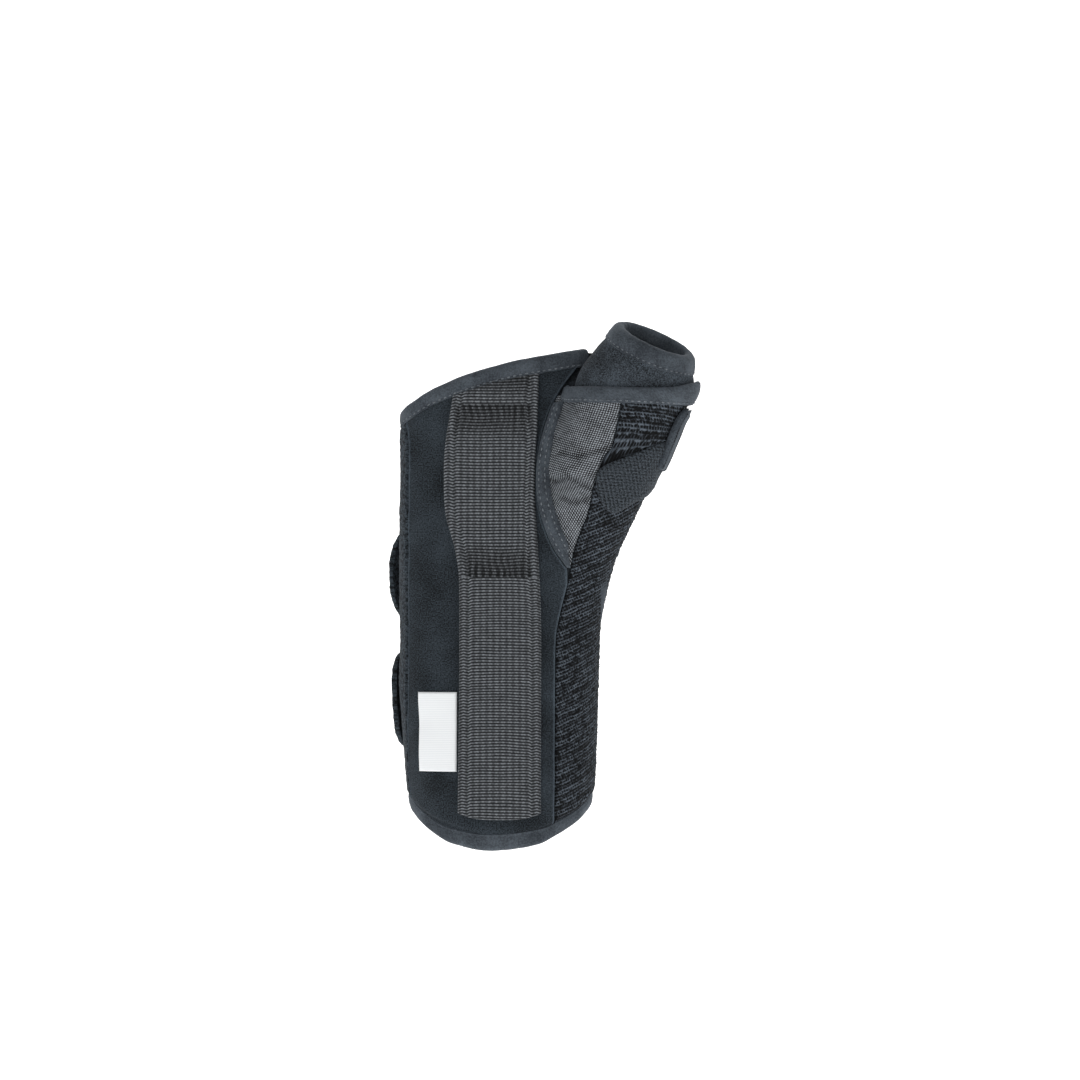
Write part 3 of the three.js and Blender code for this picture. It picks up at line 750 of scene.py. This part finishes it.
# One for each material slot, and one for the thread; colours go from the hollows to the yarn.
materials = {
    "foam_laminate": speckledKnit("jersey_over_foam_laminated", ("#101316", "#2c3237"), 1.6),
    "neoprene": speckledKnit("neoprene_jersey_bonded", ("#06080a", "#4c545c"), 2.2),
    "brushed_knit": speckledKnit("unbroken_loop_knit_brushed", ("#04080b", "#4a545d"), 1.9, welted=True),
    "loop_pile": napPile("loop_pile_napped", ("#040607", "#454e56"), 1.0),
    "ribbed_loop_pile": ribbedPile("loop_pile_ribbed", ("#010203", "#575f68")),
    "elastic_webbing": elasticRibs("elastic_webbing_knitted", ("#07090a", "#797d82"), 1.22),
    "canvas": plainWeave("nylon_canvas_woven", ("#040506", "#9da3aa"), 0.88),
    "binding_tape": foldedStretchTape("stretch_binding_tape_folded", ("#2a2f35", "#4e555c")),
    "tab_knit": warpKnit("warp_knit_napped", ("#06090b", "#454c53"), 1.13, 1.43),
    "label_tape": satinTape("satin_tape_woven", ("#e4e7e9", "#eff1f2"), 0.7),
    "thread": foldedStretchTape("polyester_thread_twisted", ("#4c5258", "#777d83")),
}


# where the hand edge crosses the top of the thumb cloth, on the palm and on the back
wrapFoam = {"palmCorner": -30.0, "backCorner": -12.0, "slitTaper": 3.0}


def makeWrapShell():
    closing = smooth((face["heights"] - splint["slitTop"]) / wrapFoam["slitTaper"] + 1)
    gapHalf = splint["slitHalf"] * (1 - closing)
    left = backArc(splint["slitMiddle"] - gapHalf, -1)
    right = backArc(splint["slitMiddle"] + gapHalf, 1)
    cut = flat(splint["thumbCut"])
    top = lambda arc, height, u: np.minimum(handEnd(arc, height, u), splint["thumbCut"])
    grids = [
        clothGrid(left, right, forearmEnd, top, 120, 88),
        clothGrid(acrossArc(wrapFoam["palmCorner"]), frontCrease, cut, handEnd, 40, 12),
        clothGrid(backCrease, backArc(wrapFoam["backCorner"], -1), cut, handEnd, 40, 12),
    ]
    walls = joined([closeCloth(skin(*grid, 0.0), skin(*grid, -splint["foamWall"]), 1) for grid in grids])
    addPiece("wrap_foam", *walls, "foam_laminate", "wrap_shell")


# Point off a tube's outer face and the normal there, from the angle that the edges also use
def tubePoint(tube, angle, height, level=0.0):
    angle, height = np.broadcast_arrays(angle, height)

    def spot(angle, height):
        row = between(tube["rows"], height)
        s, c, n = np.sin(np.radians(angle)), np.cos(np.radians(angle)), row[..., 4]
        reach = (np.abs(s) ** n + np.abs(c) ** n) ** (-1 / n)
        across, front = row[..., 0] + row[..., 1] * s * reach, row[..., 2] + row[..., 3] * c * reach
        local = np.stack([across, front, height], -1)
        return tube["origin"] + local @ tube["frame"]

    turn = spot(angle + 0.5, height) - spot(angle - 0.5, height)
    rise = spot(angle, height + 0.5) - spot(angle, height - 0.5)
    normal = unit(np.cross(turn, rise))
    return spot(angle, height) + normal * np.asarray(level)[..., None], normal


collar = {"height": 33.0, "rimRise": -0.7, "bulge": 0.5, "sink": -2.0}


def rimHeight(angle):
    return splint["thumbReach"] + collar["rimRise"] * np.cos(np.radians(angle))


def makeCollar():
    angles = np.linspace(-180, 180, 121)[:-1]
    start = np.full(angles.shape, splint["thumbReach"] - collar["height"])
    for _ in range(60):  # climbs until the tube is out of the wrap
        inside = tubeDistance(sleeve, tubePoint(thumb, angles, start)[0]) < collar["sink"]
        start = np.where(inside, start + 0.5, start)
    start = np.minimum(start, rimHeight(angles) - 3)
    v = np.linspace(0, 1, 29)[:, None]
    height = start + (rimHeight(angles) - start) * v
    puff = collar["bulge"] * np.sin(np.pi * v) + 0.15 * wander(4, angles / 12, height, 9)
    outer = tubePoint(thumb, angles, height, puff)[0]
    inner = tubePoint(thumb, angles, height, puff * 0 - splint["foamWall"])[0]
    wall = joinRings(np.concatenate([outer, inner[::-1]]).transpose(1, 0, 2), True)
    addPiece("collar_sleeve", *wall, "neoprene", "thumb_collar", recalc=True)


# height and place across of the palm panel's outer edge; past it the pile shows
palmLeft = [
    [-200, -32.0], [-100, -33.2], [-90, -34.2], [-76, -35.0], [-62, -35.4], [-46, -35.2], [40, -35.2],
    [49, -35.6], [56, -36.6], [90, -36.6],
]


def palmRight(height):
    edge = np.minimum(seamArc(height), rollArc(height))
    return np.where(np.asarray(height) > 55, np.minimum(edge, frontCrease(height)), edge)


firstLayer = (splint["clothLow"], splint["clothTop"])
palmWelt = {"inset": 0.5, "half": 0.45, "rise": 0.45}  # the heat-sealed border that stands up


def makePalmPanel():
    arc, height = clothGrid(frontArc(palmLeft, share=False), palmRight, forearmEnd, handEnd, 160, 224)
    welt = hump(sideDistance(arc) - palmWelt["inset"], palmWelt["half"])
    relief = 0.25 * wander(11, arc, height, 14) + 0.12 * wander(12, arc, height, 5)
    layCloth("palm_face", "palm_panel", "brushed_knit", (arc, height), firstLayer,
             relief + palmWelt["rise"] * welt, np.stack([arc, height, welt], -1), border=0.8,
             ends="low high")


def makeUlnarCover():
    slit = splint["slitHalf"] * (face["heights"] < splint["slitTop"])
    left, right = backArc(splint["slitMiddle"] - slit, -1), frontArc(palmLeft, -0.3, share=False)
    arc, height = clothGrid(left, right, forearmEnd, handEnd, 128, 200)
    relief = 0.2 * wander(21, arc, height, 1.3) + 0.3 * wander(22, arc, height, 16)
    layCloth("ulnar_pile", "ulnar_loop_cover", "loop_pile", (arc, height),
             (splint["clothLow"], splint["clothTop"] + 0.2), relief, ends="low high")


# The ribs are 1.18 mm apart and the ticks along them 1.07 mm, which the render can just show.
ribs = {"pitch": 1.18, "tick": 1.07, "slant": 22.0, "slantHigh": 4.0, "levelFrom": 26.0,
        "levelOver": 28.0, "backArc": 70.0, "backOver": 12.0, "depth": 0.3}


# Rib count and place along the rib for the slanting pile
def ribPattern(arc, height):
    turned = smooth((height - ribs["levelFrom"]) / ribs["levelOver"])  # they level out higher up
    slant = np.radians(ribs["slant"])
    past = np.maximum(arc - ribs["backArc"], 0)
    girth = np.minimum(arc, ribs["backArc"]) + ribs["backOver"] * np.tanh(past / ribs["backOver"])
    rib = height * np.cos(slant) - girth * np.sin(slant)
    level = height * 0.8 + (arc - 62) * np.sin(np.radians(ribs["slantHigh"])) - 23.2
    rib = rib + (level - rib) * turned
    along = arc * np.cos(slant) + height * np.sin(slant) * (1 - turned)
    return rib / ribs["pitch"] + 0.25 * wander(31, arc, height, 5), along / ribs["tick"]


def ribRelief(arc, height, shown):
    rib, along = ribPattern(arc, height)
    ridge = 0.5 + 0.5 * np.cos(2 * np.pi * rib)
    third = 0.5 + 0.5 * np.cos(2 * np.pi * rib / 3)  # each third rib stands deeper
    relief = ribs["depth"] * (ridge * (0.5 + 0.5 * third) - 0.6) + 0.25 * wander(32, arc, height, 1.1)
    pattern = np.stack([rib, along, shown], -1)
    return relief * (0.25 + 0.75 * shown), pattern


radialHem = {"place": [[-200, 36.1], [-20, 36.9], [200, 36.9]], "breadth": 7.0, "top": -12.0}


# The pile is in two parts: round the thumb side below the cut, and behind the thumb sleeve above it.
def makeRadialPanel():
    slit = splint["slitHalf"] * (face["heights"] < splint["slitTop"])
    cut = flat(splint["thumbCut"])
    low = clothGrid(lambda height: seamArc(height) + 0.3, backArc(splint["slitMiddle"] + slit, 1),
                    forearmEnd, cut, 232, 340)
    high = clothGrid(backCrease, backArc(splint["slitMiddle"], -1), cut, handEnd, 64, 32)
    hemArc = frontArc(radialHem["place"], share=False)(low[1])
    hem = smooth((low[0] - hemArc) / 0.8) * smooth((hemArc + radialHem["breadth"] - low[0]) / 0.8)
    shown = np.maximum(1 - hem, smooth((low[1] - radialHem["top"]) / 6))
    forms, places = [], []
    for grid, strength, ends in ((low, shown, "low"), (high, 0 * high[0] + 0.6, "high")):
        relief, pattern = ribRelief(*grid, strength)
        level = clothLevel(*grid, *firstLayer, relief, 1.0, ends)
        forms.append(closeCloth(skin(*grid, level), skin(*grid, splint["clothLow"]), 4))
        places.append(clothPlaces(pattern, 4))
    made = addPiece("radial_pile", *joined(forms), "ribbed_loop_pile", "radial_loop_panel",
                    np.concatenate(places), sharp=75)
    cutCloth(made, skin(*low, 1.0), more=skin(*high, 1.0))


# The yarns run at these angles below the thumb-side direction, seen from the palm side.
canvas = {"pitch": 0.88, "weaveDepth": 0.06, "warp": 33.0, "weftHigh": 101.0, "weftLow": 147.0,
          "turnAt": 27.0, "low": -2.6, "creaseDepth": 0.9, "creaseHalf": 1.1}
canvasCreases = [
    [(24.0, 41.5), (30.5, 40.0), (36.5, 42.5), (42.0, 43.0)],
    [(20.5, 30.0), (26.0, 32.0), (31.0, 29.5), (36.0, 27.5)],
    [(24.5, 24.0), (29.0, 22.5), (34.0, 24.0)],
]


def makeSpicaPanel():
    left = lambda height: rollArc(height) + 0.2
    right = lambda height: np.maximum(seamArc(height) - 0.1, rollArc(height) + 1.0)
    arc, height = clothGrid(left, right, flat(canvas["low"]), flat(splint["thumbCut"]), 116, 220)
    bend = smooth((canvas["turnAt"] + 7 - height) / 14)  # the weave folds into a chevron low down
    above = height - canvas["turnAt"]
    yarn = lambda angle: arc * np.cos(np.radians(angle)) - above * np.sin(np.radians(angle))
    warp = 1.08 * yarn(canvas["warp"]) + 0.3 * wander(42, arc, height, 7)
    weft = yarn(canvas["weftHigh"]) * (1 - bend) + (yarn(canvas["weftLow"]) + 28) * bend
    dents = sum(crease(skin(arc, height), line, canvas["creaseHalf"]) for line in canvasCreases)
    swell = 0.9 * hump(height - 35, 5) + 0.6 * hump(height - 50, 7)
    turns = 2 * np.pi / canvas["pitch"]
    weave = canvas["weaveDepth"] * np.sin(turns * warp) * np.sin(turns * weft)
    relief = weave + swell - canvas["creaseDepth"] * dents + 0.15 * wander(41, arc, height, 4)
    # the third entry of the pattern is painted shade along the creases
    layCloth("spica_canvas", "spica_panel", "canvas", (arc, height), firstLayer, relief,
             np.stack([warp, weft, 0.18 * dents], -1), sharp=75, border=0.8)


pocket = {"top": 3.6, "pitchAbove": 1.2, "pitchBelow": 1.12, "pitchChange": -6.6, "selvedge": 4.7,
          "low": -97.1, "bow": 2.7, "under": -3.4, "pleat": 2.44, "creaseDepth": 0.45}
# height where the painted shade of each gather is darkest and where it has faded out
gatherShadeBands = [(73.0, 63.0), (59.5, 46.0), (-6.3, 6.5)]
pocketCreases = [
    [(-8.6, -24.2), (-1.0, -29.5), (7.0, -33.2)],
    [(-10.5, -46.8), (-4.0, -49.5), (0.0, -52.5)],
    [(1.2, -93.6), (6.0, -89.0), (12.9, -81.9)],
]


def makePocket():
    left, right = frontArc(pocketLeft), frontArc(pocketRight)
    bottom = lambda arc, height, u: pocket["low"] - pocket["bow"] * (1 - np.abs(2 * u - 1) ** 3)
    top = edgeHeight(handEdge, splint["palmReach"], pocket["under"])
    arc, height = clothGrid(left, right, bottom, top, 108, 600)
    fromSide, u = sideDistance(arc), acrossShare(arc)
    bow = 1.6 * (u - 0.5) ** 2 * np.sign(pocket["pitchChange"] - height)
    sag = height + bow + 0.25 * wander(51, arc, height, 9)
    above = np.maximum(sag - pocket["pitchChange"], 0) / pocket["pitchAbove"]
    rib = above + np.minimum(sag - pocket["pitchChange"], 0) / pocket["pitchBelow"]
    edge = 1 - smooth((fromSide - pocket["selvedge"] + 1) / 1.5)
    rib = rib + edge * 0.45 * np.abs((fromSide / 1.9) % 2 - 1)
    # painted shade of the gathers: dark bands that fade off over these heights, darker in the pleat
    # hollows; it also sinks the ribs
    paintedShade = 0 * arc
    shaken = height + 1.2 * wander(54, arc, 0 * height, 3)
    for dark, faded in gatherShadeBands:
        way = np.sign(faded - dark)
        fade = np.clip((faded - shaken) / (faded - dark), 0, 1) ** 0.6
        paintedShade = np.maximum(paintedShade, fade * smooth((height - dark) * way / 0.8 + 1))
    pleats = np.sin(2 * np.pi * (arc / pocket["pleat"] + 0.25 * wander(52, arc, height, 5)))
    paintedShade = paintedShade * (0.2 + 0.8 * smooth(pleats + 0.5)) * smooth((fromSide - 2) / 1.5)
    ridge = 0.14 * np.sin(2 * np.pi * rib) * (1 - paintedShade) - 0.4 * paintedShade
    dents = sum(crease(skin(arc, height), line, 1.3) for line in pocketCreases)
    crown = 0.5 * (1 - (2 * u - 1) ** 2)  # the stay under it
    puff = 0.35 * hump(height + 30, 22) + 0.15 * wander(53, arc, height, 7)
    relief = ridge + crown + puff - pocket["creaseDepth"] * dents
    taper = smooth((height[-1:] - height) / 5)
    relief = relief * taper - 1.0 * (1 - taper)
    layCloth("stay_pocket_webbing", "palm_stay_pocket", "elastic_webbing", (arc, height),
             (splint["upperLow"], pocket["top"]), relief, np.stack([arc, rib, 0.85 * paintedShade], -1),
             sharp=75, border=0.7, rests="palm_face")


# tape thickness, and how far off the foam's face its outer and inner legs lie
binding = {"wall": 0.8, "outer": 0.95, "low": 0.5, "rim": 0.1, "inner": -2.9, "handLeg": 5.6,
           "forearmLeg": 5.2, "rimLeg": 6.0}


# Stations along a sleeve edge: point on the face, the face's normal, the way past the edge
def edgeStations(tube, angles, heights, way):
    point, normal = tubePoint(tube, angles, heights)
    if tube is sleeve:
        point = settle(point, 0.0)
        normal = unit(gradient(point))
    inside = tubePoint(tube, angles, heights - way * 10)[0]
    past = unit(point - inside)
    return point, normal, past


# How far the pocket lifts the binding that is folded over its end
def pocketLift(point):
    return 1.5 * smooth((point[:, 0] + 21) / 4) * smooth((17.5 - point[:, 0]) / 4) * (point[:, 1] < 0)


def tapeAlong(name, node, stations, closed, outer, inner, leg, share=1.0):
    n = len(stations[0])
    wall = share * binding["wall"] * (1 + 0.12 * wander(61, np.arange(n), np.arange(n) * 0, 3))
    profiles = [foldedTape(o, inner, leg, w, 0.7) for o, w in zip(np.broadcast_to(outer, n), wall)]
    tape = sweepTape(stations, np.stack(profiles), closed)
    addPiece(name, *tape, "binding_tape", node, recalc=True, sharp=70)


# Line of sewing over a tape, this far inside its edge
def seamOver(stations, outer, inside):
    point, normal, past = stations
    level = np.broadcast_to(outer, len(point))[:, None] + binding["wall"] * 0.45 + 0.12
    return point + normal * level - past * inside, normal


def wrapped(angles):
    return (angles + 180) % 360 - 180


def makeEdgeBindings():
    angles = wrapped(np.arange(95.0, 412.0, 1.5))
    stations = edgeStations(sleeve, angles, between(handEdge, angles)[:, 0] * splint["palmReach"], 1)
    clear = tubeDistance(thumb, stations[0]) > 3.4
    stations = tuple(part[clear] for part in stations)
    outer = binding["outer"] + pocketLift(stations[0])
    tapeAlong("hand_edge_tape", "hand_edge_binding", stations, False, outer, binding["inner"],
              binding["handLeg"])
    sewn = [seamOver(stations, outer, 4.6)]
    angles = wrapped(np.arange(170.0, 530.0, 2.0))
    heights = between(forearmEdge, angles)[:, 0] * splint["forearmReach"]
    stations = edgeStations(sleeve, angles, heights, -1)
    spot = stations[0]
    clear = (spot[:, 1] < 0) | (np.abs(spot[:, 0] - splint["slitMiddle"]) > splint["slitHalf"])
    order = (np.arange(len(clear)) + int(np.argmax(~clear))) % len(clear)  # starts at the slit
    order = order[clear[order]]
    tapeAlong("forearm_edge_tape", "forearm_edge_binding", tuple(part[order] for part in stations), False,
              binding["low"], binding["inner"], binding["forearmLeg"], share=0.8)
    angles = np.arange(-180.0, 180.0, 3.0)
    stations = edgeStations(thumb, angles, rimHeight(angles), 1)
    tapeAlong("collar_rim_tape", "thumb_collar_binding", stations, True, binding["rim"],
              -splint["foamWall"] - 0.4, binding["rimLeg"])
    closed = tuple(np.concatenate([part, part[:1]]) for part in stations)
    return sewn + [seamOver(closed, binding["rim"], 5.0)]


# rows are the two seams, as shares across the band; dents are the heights where it is pulled in
roll = {"band": 6.3, "top": 3.5, "rows": (0.27, 0.76), "low": -2.4, "end": 60.6, "dents": (41.0, 17.6)}


def makeRolledEdge():
    left = lambda height: rollArc(height) - 0.1
    band = lambda height: np.minimum(roll["band"], 1.2 + 0.55 * np.maximum(height + 2.6, 0))
    arc, height = clothGrid(left, lambda height: rollArc(height) + band(height), flat(roll["low"]),
                            flat(roll["end"]), 24, 252)
    u = acrossShare(arc)
    seams = sum(hump((u - row) * roll["band"], 0.45) for row in roll["rows"])
    puckers = 0.12 * np.cos(2 * np.pi * height / stitch["pitch"]) * seams
    dents = sum(hump(u - 0.5, 1 / 3) * hump(height - z, 2.0) for z in roll["dents"])
    relief = 0.35 * hump(u - 0.08, 0.12) - 0.32 * seams + puckers - 0.8 * dents
    layCloth("spica_edge_roll", "spica_edge_binding", "binding_tape", (arc, height),
             (splint["upperLow"], roll["top"]), relief, border=1.0, rests=None)
    z = np.linspace(1.5, 59.5, 160)
    return [skinLine(rollArc(z) + row * roll["band"], z, roll["top"] - 0.15) for row in roll["rows"]]


# place across and height of the band's two edges; its thumb-side end flares round the collar
topBand = {
    "from": 23.8, "top": 2.9,
    "low": [[-80, 60.6], [64, 60.6], [75, 60.9], [90, 60.9]],
    "high": [[-80, 66.6], [30, 66.5], [63, 66.8], [72, 68.4], [76, 69.9], [90, 69.9]],
}


def makeTopBand():
    middle = len(face["arcs"]) // 2
    ends = []
    for points in face["points"]:
        back = np.nonzero((points[middle:, 1] > 1.0) & (points[middle:, 0] > 20))[0]
        ends.append(face["step"] * (back[0] if len(back) else 60))
    end = overRows(ends)
    edge = lambda rows: lambda arc, height, u: between(rows, skin(arc, height)[..., 0])[..., 0]
    arc, height = clothGrid(acrossArc(topBand["from"]), lambda height: end(np.clip(height, 60, 64.0)),
                            edge(topBand["low"]), edge(topBand["high"]), 140, 12)
    v = (height - height[:1]) / (height[-1:] - height[:1])
    relief = 0.35 * np.sin(np.pi * v) - 0.25 * hump(v - 0.17, 0.07)
    layCloth("spica_top_band", "spica_top_binding", "binding_tape", (arc, height),
             (splint["upperLow"], topBand["top"]), relief + 0.1 * wander(71, arc, height, 4),
             border=0.9, rests=None)
    return [skinLine(arc[2, 2:-2], height[2, 2:-2], topBand["top"] + 0.1)]


# place across and height of the tab's upper and lower edge, from its round end to under the strap
tab = {
    "high": [[36.2, 31.6], [36.6, 33.4], [37.6, 35.1], [39.3, 36.6], [41.5, 37.8], [46.0, 39.7],
             [50.7, 41.7], [58.5, 45.2], [64.7, 48.0]],
    "low": [[36.2, 31.4], [36.4, 28.4], [37.0, 25.6], [38.2, 22.7], [39.8, 20.3], [42.1, 19.0],
            [45.0, 20.4], [49.5, 23.4], [56.6, 27.7], [64.0, 32.0]],
    "length": 46.0, "endHigh": 52.0, "endLow": 37.0, "bottom": 2.1, "top": 3.2, "settle": -0.6,
}


def makeTab():
    lines = []
    for rows, end in ((tab["high"], tab["endHigh"]), (tab["low"], tab["endLow"])):
        line = [[float(acrossArc(x)(z)), z] for x, z in rows]
        lines.append(line + [[line[0][0] + tab["length"], end]])
    tip = min(lines[0][0][0], lines[1][0][0])
    s = tip + tab["length"] * np.linspace(0, 1, 129) ** 1.6
    high, low = (between(line, s)[:, 0] for line in lines)
    low = low + 0.3 * wander(81, s, 0 * s, 0.8) * smooth((s - tip) / 3)
    v = np.linspace(0, 1, 53)[:, None]
    arc, height = s + 0 * v, low + (high - low) * v
    fromBorder = np.minimum(np.minimum(v, 1 - v) * (high - low), s - tip)
    relief = 0.5 * smooth(fromBorder / 2.5) + 0.2 * wander(82, arc, height, 1.1)
    layCloth("thumb_tab_knit", "thumb_tab", "tab_knit", (arc, height), (tab["bottom"], tab["top"]),
             relief + 0.25 * wander(83, arc, height, 6), sharp=75, rests="radial_pile",
             lift=tab["settle"] * smooth((arc - tip - 16) / 12))


# angles round the thumb sleeve from the strap's bound edge to its end on the back, and heights up it
thumbStrap = {"from": 59.0, "to": 160.0, "low": 66.2, "breadth": 25.8, "tilt": -9.2, "bottom": 2.5,
              "wall": 1.8, "tapeLeg": 4.2}


def closedStrap(name, node, slot, top, base, pattern):
    made = addPiece(name, *closeCloth(top, base, 4), slot, node, clothPlaces(pattern, 4), recalc=True)
    cutCloth(made, top)


def makeThumbStrap():
    u = np.linspace(0, 1, 97)
    v = np.linspace(0, 1, 41)[:, None]
    angle = thumbStrap["from"] + (thumbStrap["to"] - thumbStrap["from"]) * u + 0 * v
    corner = 1 - np.sqrt(np.clip(1 - ((2 * v - 1) ** 8), 0, 1))
    angle = angle + corner * 5 * (1 - u)
    height = thumbStrap["low"] + thumbStrap["breadth"] * v + thumbStrap["tilt"] * u
    start = tubePoint(thumb, angle, height, 3.0 + 0 * angle)[0]
    bead = 0.9 * hump(u, 0.045)
    edge = np.minimum(v, 1 - v) * thumbStrap["breadth"]
    soft = 0.3 + 0.7 * smooth(0.2 + edge / 1.4)
    wall = (thumbStrap["wall"] + bead) * soft + 0.15 * wander(91, angle, height, 5)
    top = settle(start, thumbStrap["bottom"] + wall)
    pattern = np.stack([angle * 0.35, height, 0 * angle], -1)
    closedStrap("thumb_strap_knit", "thumb_strap", "tab_knit", top,
                settle(start, thumbStrap["bottom"] + 0 * angle), pattern)
    t = np.linspace(0, 1, 41)
    rounded = 3.0 * (1 - np.sqrt(np.clip(1 - np.abs(2 * t - 1) ** 6, 0, 1)))
    at = thumbStrap["low"] + thumbStrap["breadth"] * t
    middle = thumbStrap["bottom"] + thumbStrap["wall"] / 2
    front = thumbStrap["from"] + rounded
    spot, inside = (settle(tubePoint(thumb, angle, at, middle + 0 * at)[0], middle)
                    for angle in (front, front + 12))
    stations = spot, unit(gradient(spot)), unit(spot - inside)
    half = thumbStrap["wall"] / 2
    pinch = 1 - 0.5 * np.abs(2 * t - 1) ** 8
    leg = thumbStrap["tapeLeg"]
    profiles = np.stack([foldedTape(half * p, -half * p, leg, 0.85 * p, 0.3, 0.95) for p in pinch])
    tape = sweepTape(stations, profiles, False)
    addPiece("thumb_strap_end_tape", *tape, "binding_tape", recalc=True, sharp=70)


# middle height, angle where the tip ends, and how far the tip stands off
straps = {
    "wrist_strap": {"middle": -6.1, "tip": -106, "lift": 3.4},
    "forearm_strap": {"middle": -54.5, "tip": -92.5, "lift": 1.0},
}
strapCut = {"from": 128.0, "half": 19.0, "bottom": 2.2, "wall": 1.9, "length": 118.0,
            "box": (0.02, 0.16, 0.8)}


def makeStraps():
    sewn = []
    length, half, bottom = strapCut["length"], strapCut["half"], strapCut["bottom"]
    for name, strap in straps.items():
        u = np.linspace(0, 1, 141)
        v = np.linspace(-1, 1, 49)[:, None]
        sweep = strap["tip"] + 360 - strapCut["from"]
        rest = (1 - u) * length
        wide = np.where(rest < half, np.sqrt(np.clip(half**2 - (half - rest) ** 2, 1, None)), half)
        height = strap["middle"] + v * wide
        soft = 0.3 + 0.7 * smooth(0.2 + np.minimum((1 - np.abs(v)) * wide, rest) / 1.3)
        level = bottom + strap["lift"] * np.maximum(0, (u - 0.75) / 0.25) ** 2 + 0 * v
        start = tubePoint(sleeve, wrapped(strapCut["from"] + sweep * u) + 0 * v, height, level)[0]
        along = u * length + 0 * v
        fuzz = 0.18 * wander(101, along, height, 1.2) + 0.2 * wander(102, along, height, 11)
        top = settle(start, level + strapCut["wall"] * soft + fuzz * soft)
        pattern = np.stack([along, height, 0 * along], -1)
        closedStrap(name + "_pile", name, "loop_pile", top, settle(start, level), pattern)
        near, far, side = strapCut["box"]  # a stitched box with one diagonal at the fixed end
        box = [(near, -side), (near, side), (far, side), (far, -side), (near, -side), (far, side)]
        level = bottom + strapCut["wall"] + 0.15
        for (u0, v0), (u1, v1) in zip(box[:-1], box[1:]):
            t = np.linspace(0, 1, 40)
            turn = wrapped(strapCut["from"] + sweep * (u0 + (u1 - u0) * t))
            at = strap["middle"] + (v0 + (v1 - v0) * t) * half
            line = settle(tubePoint(sleeve, turn, at, level + 0 * at)[0], level)
            sewn.append((line, unit(gradient(line))))
    return sewn


label = {"left": -30.1, "right": -16.7, "low": -81.4, "high": -50.9, "wall": 0.8}


def makeLabel():
    arc, height = clothGrid(acrossArc(label["left"]), acrossArc(label["right"]), flat(label["low"]),
                            flat(label["high"]), 32, 64)
    u = acrossShare(arc)
    v = (height - label["low"]) / (label["high"] - label["low"])
    curl = 0.25 + 1.3 * smooth((v - 0.55) / 0.45) + 0.3 * np.sin(np.pi * v * 1.3)
    layCloth("side_label_tape", "side_label", "label_tape", (arc, height),
             (splint["upperLow"], splint["upperLow"] + label["wall"]),
             0.12 * np.sin(np.pi * v * 2.2) * (1 - u), lift=(1 - u) ** 1.4 * curl, border=0.35,
             rests="palm_face")


light = {"world": 0.3, "backdrop": 0.8, "key": 13.0, "side": 4.0, "back": 2.0}
# the floor's height, the wall's distance behind, its top, the half breadth and the bend, in metres
backdrop = {"floor": -0.42, "back": 1.6, "front": -3.0, "top": 3.5, "half": 3.5, "bend": 0.5}


def makeStage():
    back, floor, half, bend = (backdrop[key] for key in ("back", "floor", "half", "bend"))
    line = [(backdrop["front"], floor), (-1.0, floor), (back - bend, floor)]
    for t in np.linspace(0.15, np.pi / 2, 10):
        line.append((back - bend + bend * np.sin(t), floor + bend - bend * np.cos(t)))
    line.append((back, backdrop["top"]))
    points = [(x, y, z) for y, z in line for x in (-half, half)]
    faces = [(2 * i, 2 * i + 1, 2 * i + 3, 2 * i + 2) for i in range(len(line) - 1)]
    mesh = bpy.data.meshes.new("backdrop")
    mesh.from_pydata(points, [], faces)
    mesh.polygons.foreach_set("use_smooth", [True] * len(mesh.polygons))
    material = startMaterial("paper_backdrop_matt", 0.9, 0.0)[0]  # matt paper: no shine, even white
    values = {"Base Color": linearColor("#f4f4f4"), "Emission Color": (1, 1, 1, 1),
              "Emission Strength": light["backdrop"]}
    for socket, value in values.items():
        material.node_tree.nodes["Principled BSDF"].inputs[socket].default_value = value
    mesh.materials.append(material)
    addObject("backdrop", mesh)


def makeLights():
    world = bpy.data.worlds.new("studio")
    bpy.context.scene.world = world
    world.use_nodes = True
    world.node_tree.nodes["Background"].inputs["Color"].default_value = (1, 1, 1, 1)
    world.node_tree.nodes["Background"].inputs["Strength"].default_value = light["world"]
    for name, place, size in (("key", (-0.8, -1.6, 1.3), 1.2), ("side", (1.4, -1.2, 0.5), 1.0),
                              ("back", (0.0, 1.2, 1.4), 1.0)):
        data = bpy.data.lights.new(name, "AREA")
        data.energy = light[name]
        data.size = size
        made = addObject(name, data)
        made.location = place
        made.rotation_euler = Vector(unit(-np.array(place))).to_track_quat("-Z", "Y").to_euler()


placeCamera()
makeStage()
makeLights()
print("stage, camera and lights")
makeWrapShell()
makeCollar()
print("shell and collar")
makePalmPanel()
makeUlnarCover()
makeRadialPanel()
makeSpicaPanel()
print("cloth layer")
makePocket()
edgeSewn = makeEdgeBindings()
rollSewn = makeRolledEdge()
bandSewn = makeTopBand()
print("pocket and bindings")
makeTab()
makeThumbStrap()
strapSewn = makeStraps()
makeLabel()
sewAll("binding_stitches", edgeSewn + bandSewn, "binding_tape")
sewAll("roll_stitches", rollSewn, "binding_tape")
sewAll("strap_stitches", strapSewn, "loop_pile")
print("tab, straps, label and stitches")

counts = {name: sum(len(side.vertices) - 2 for side in made.data.polygons)
          for name, made in pieces.items()}
print("triangles", sum(counts.values()), counts)
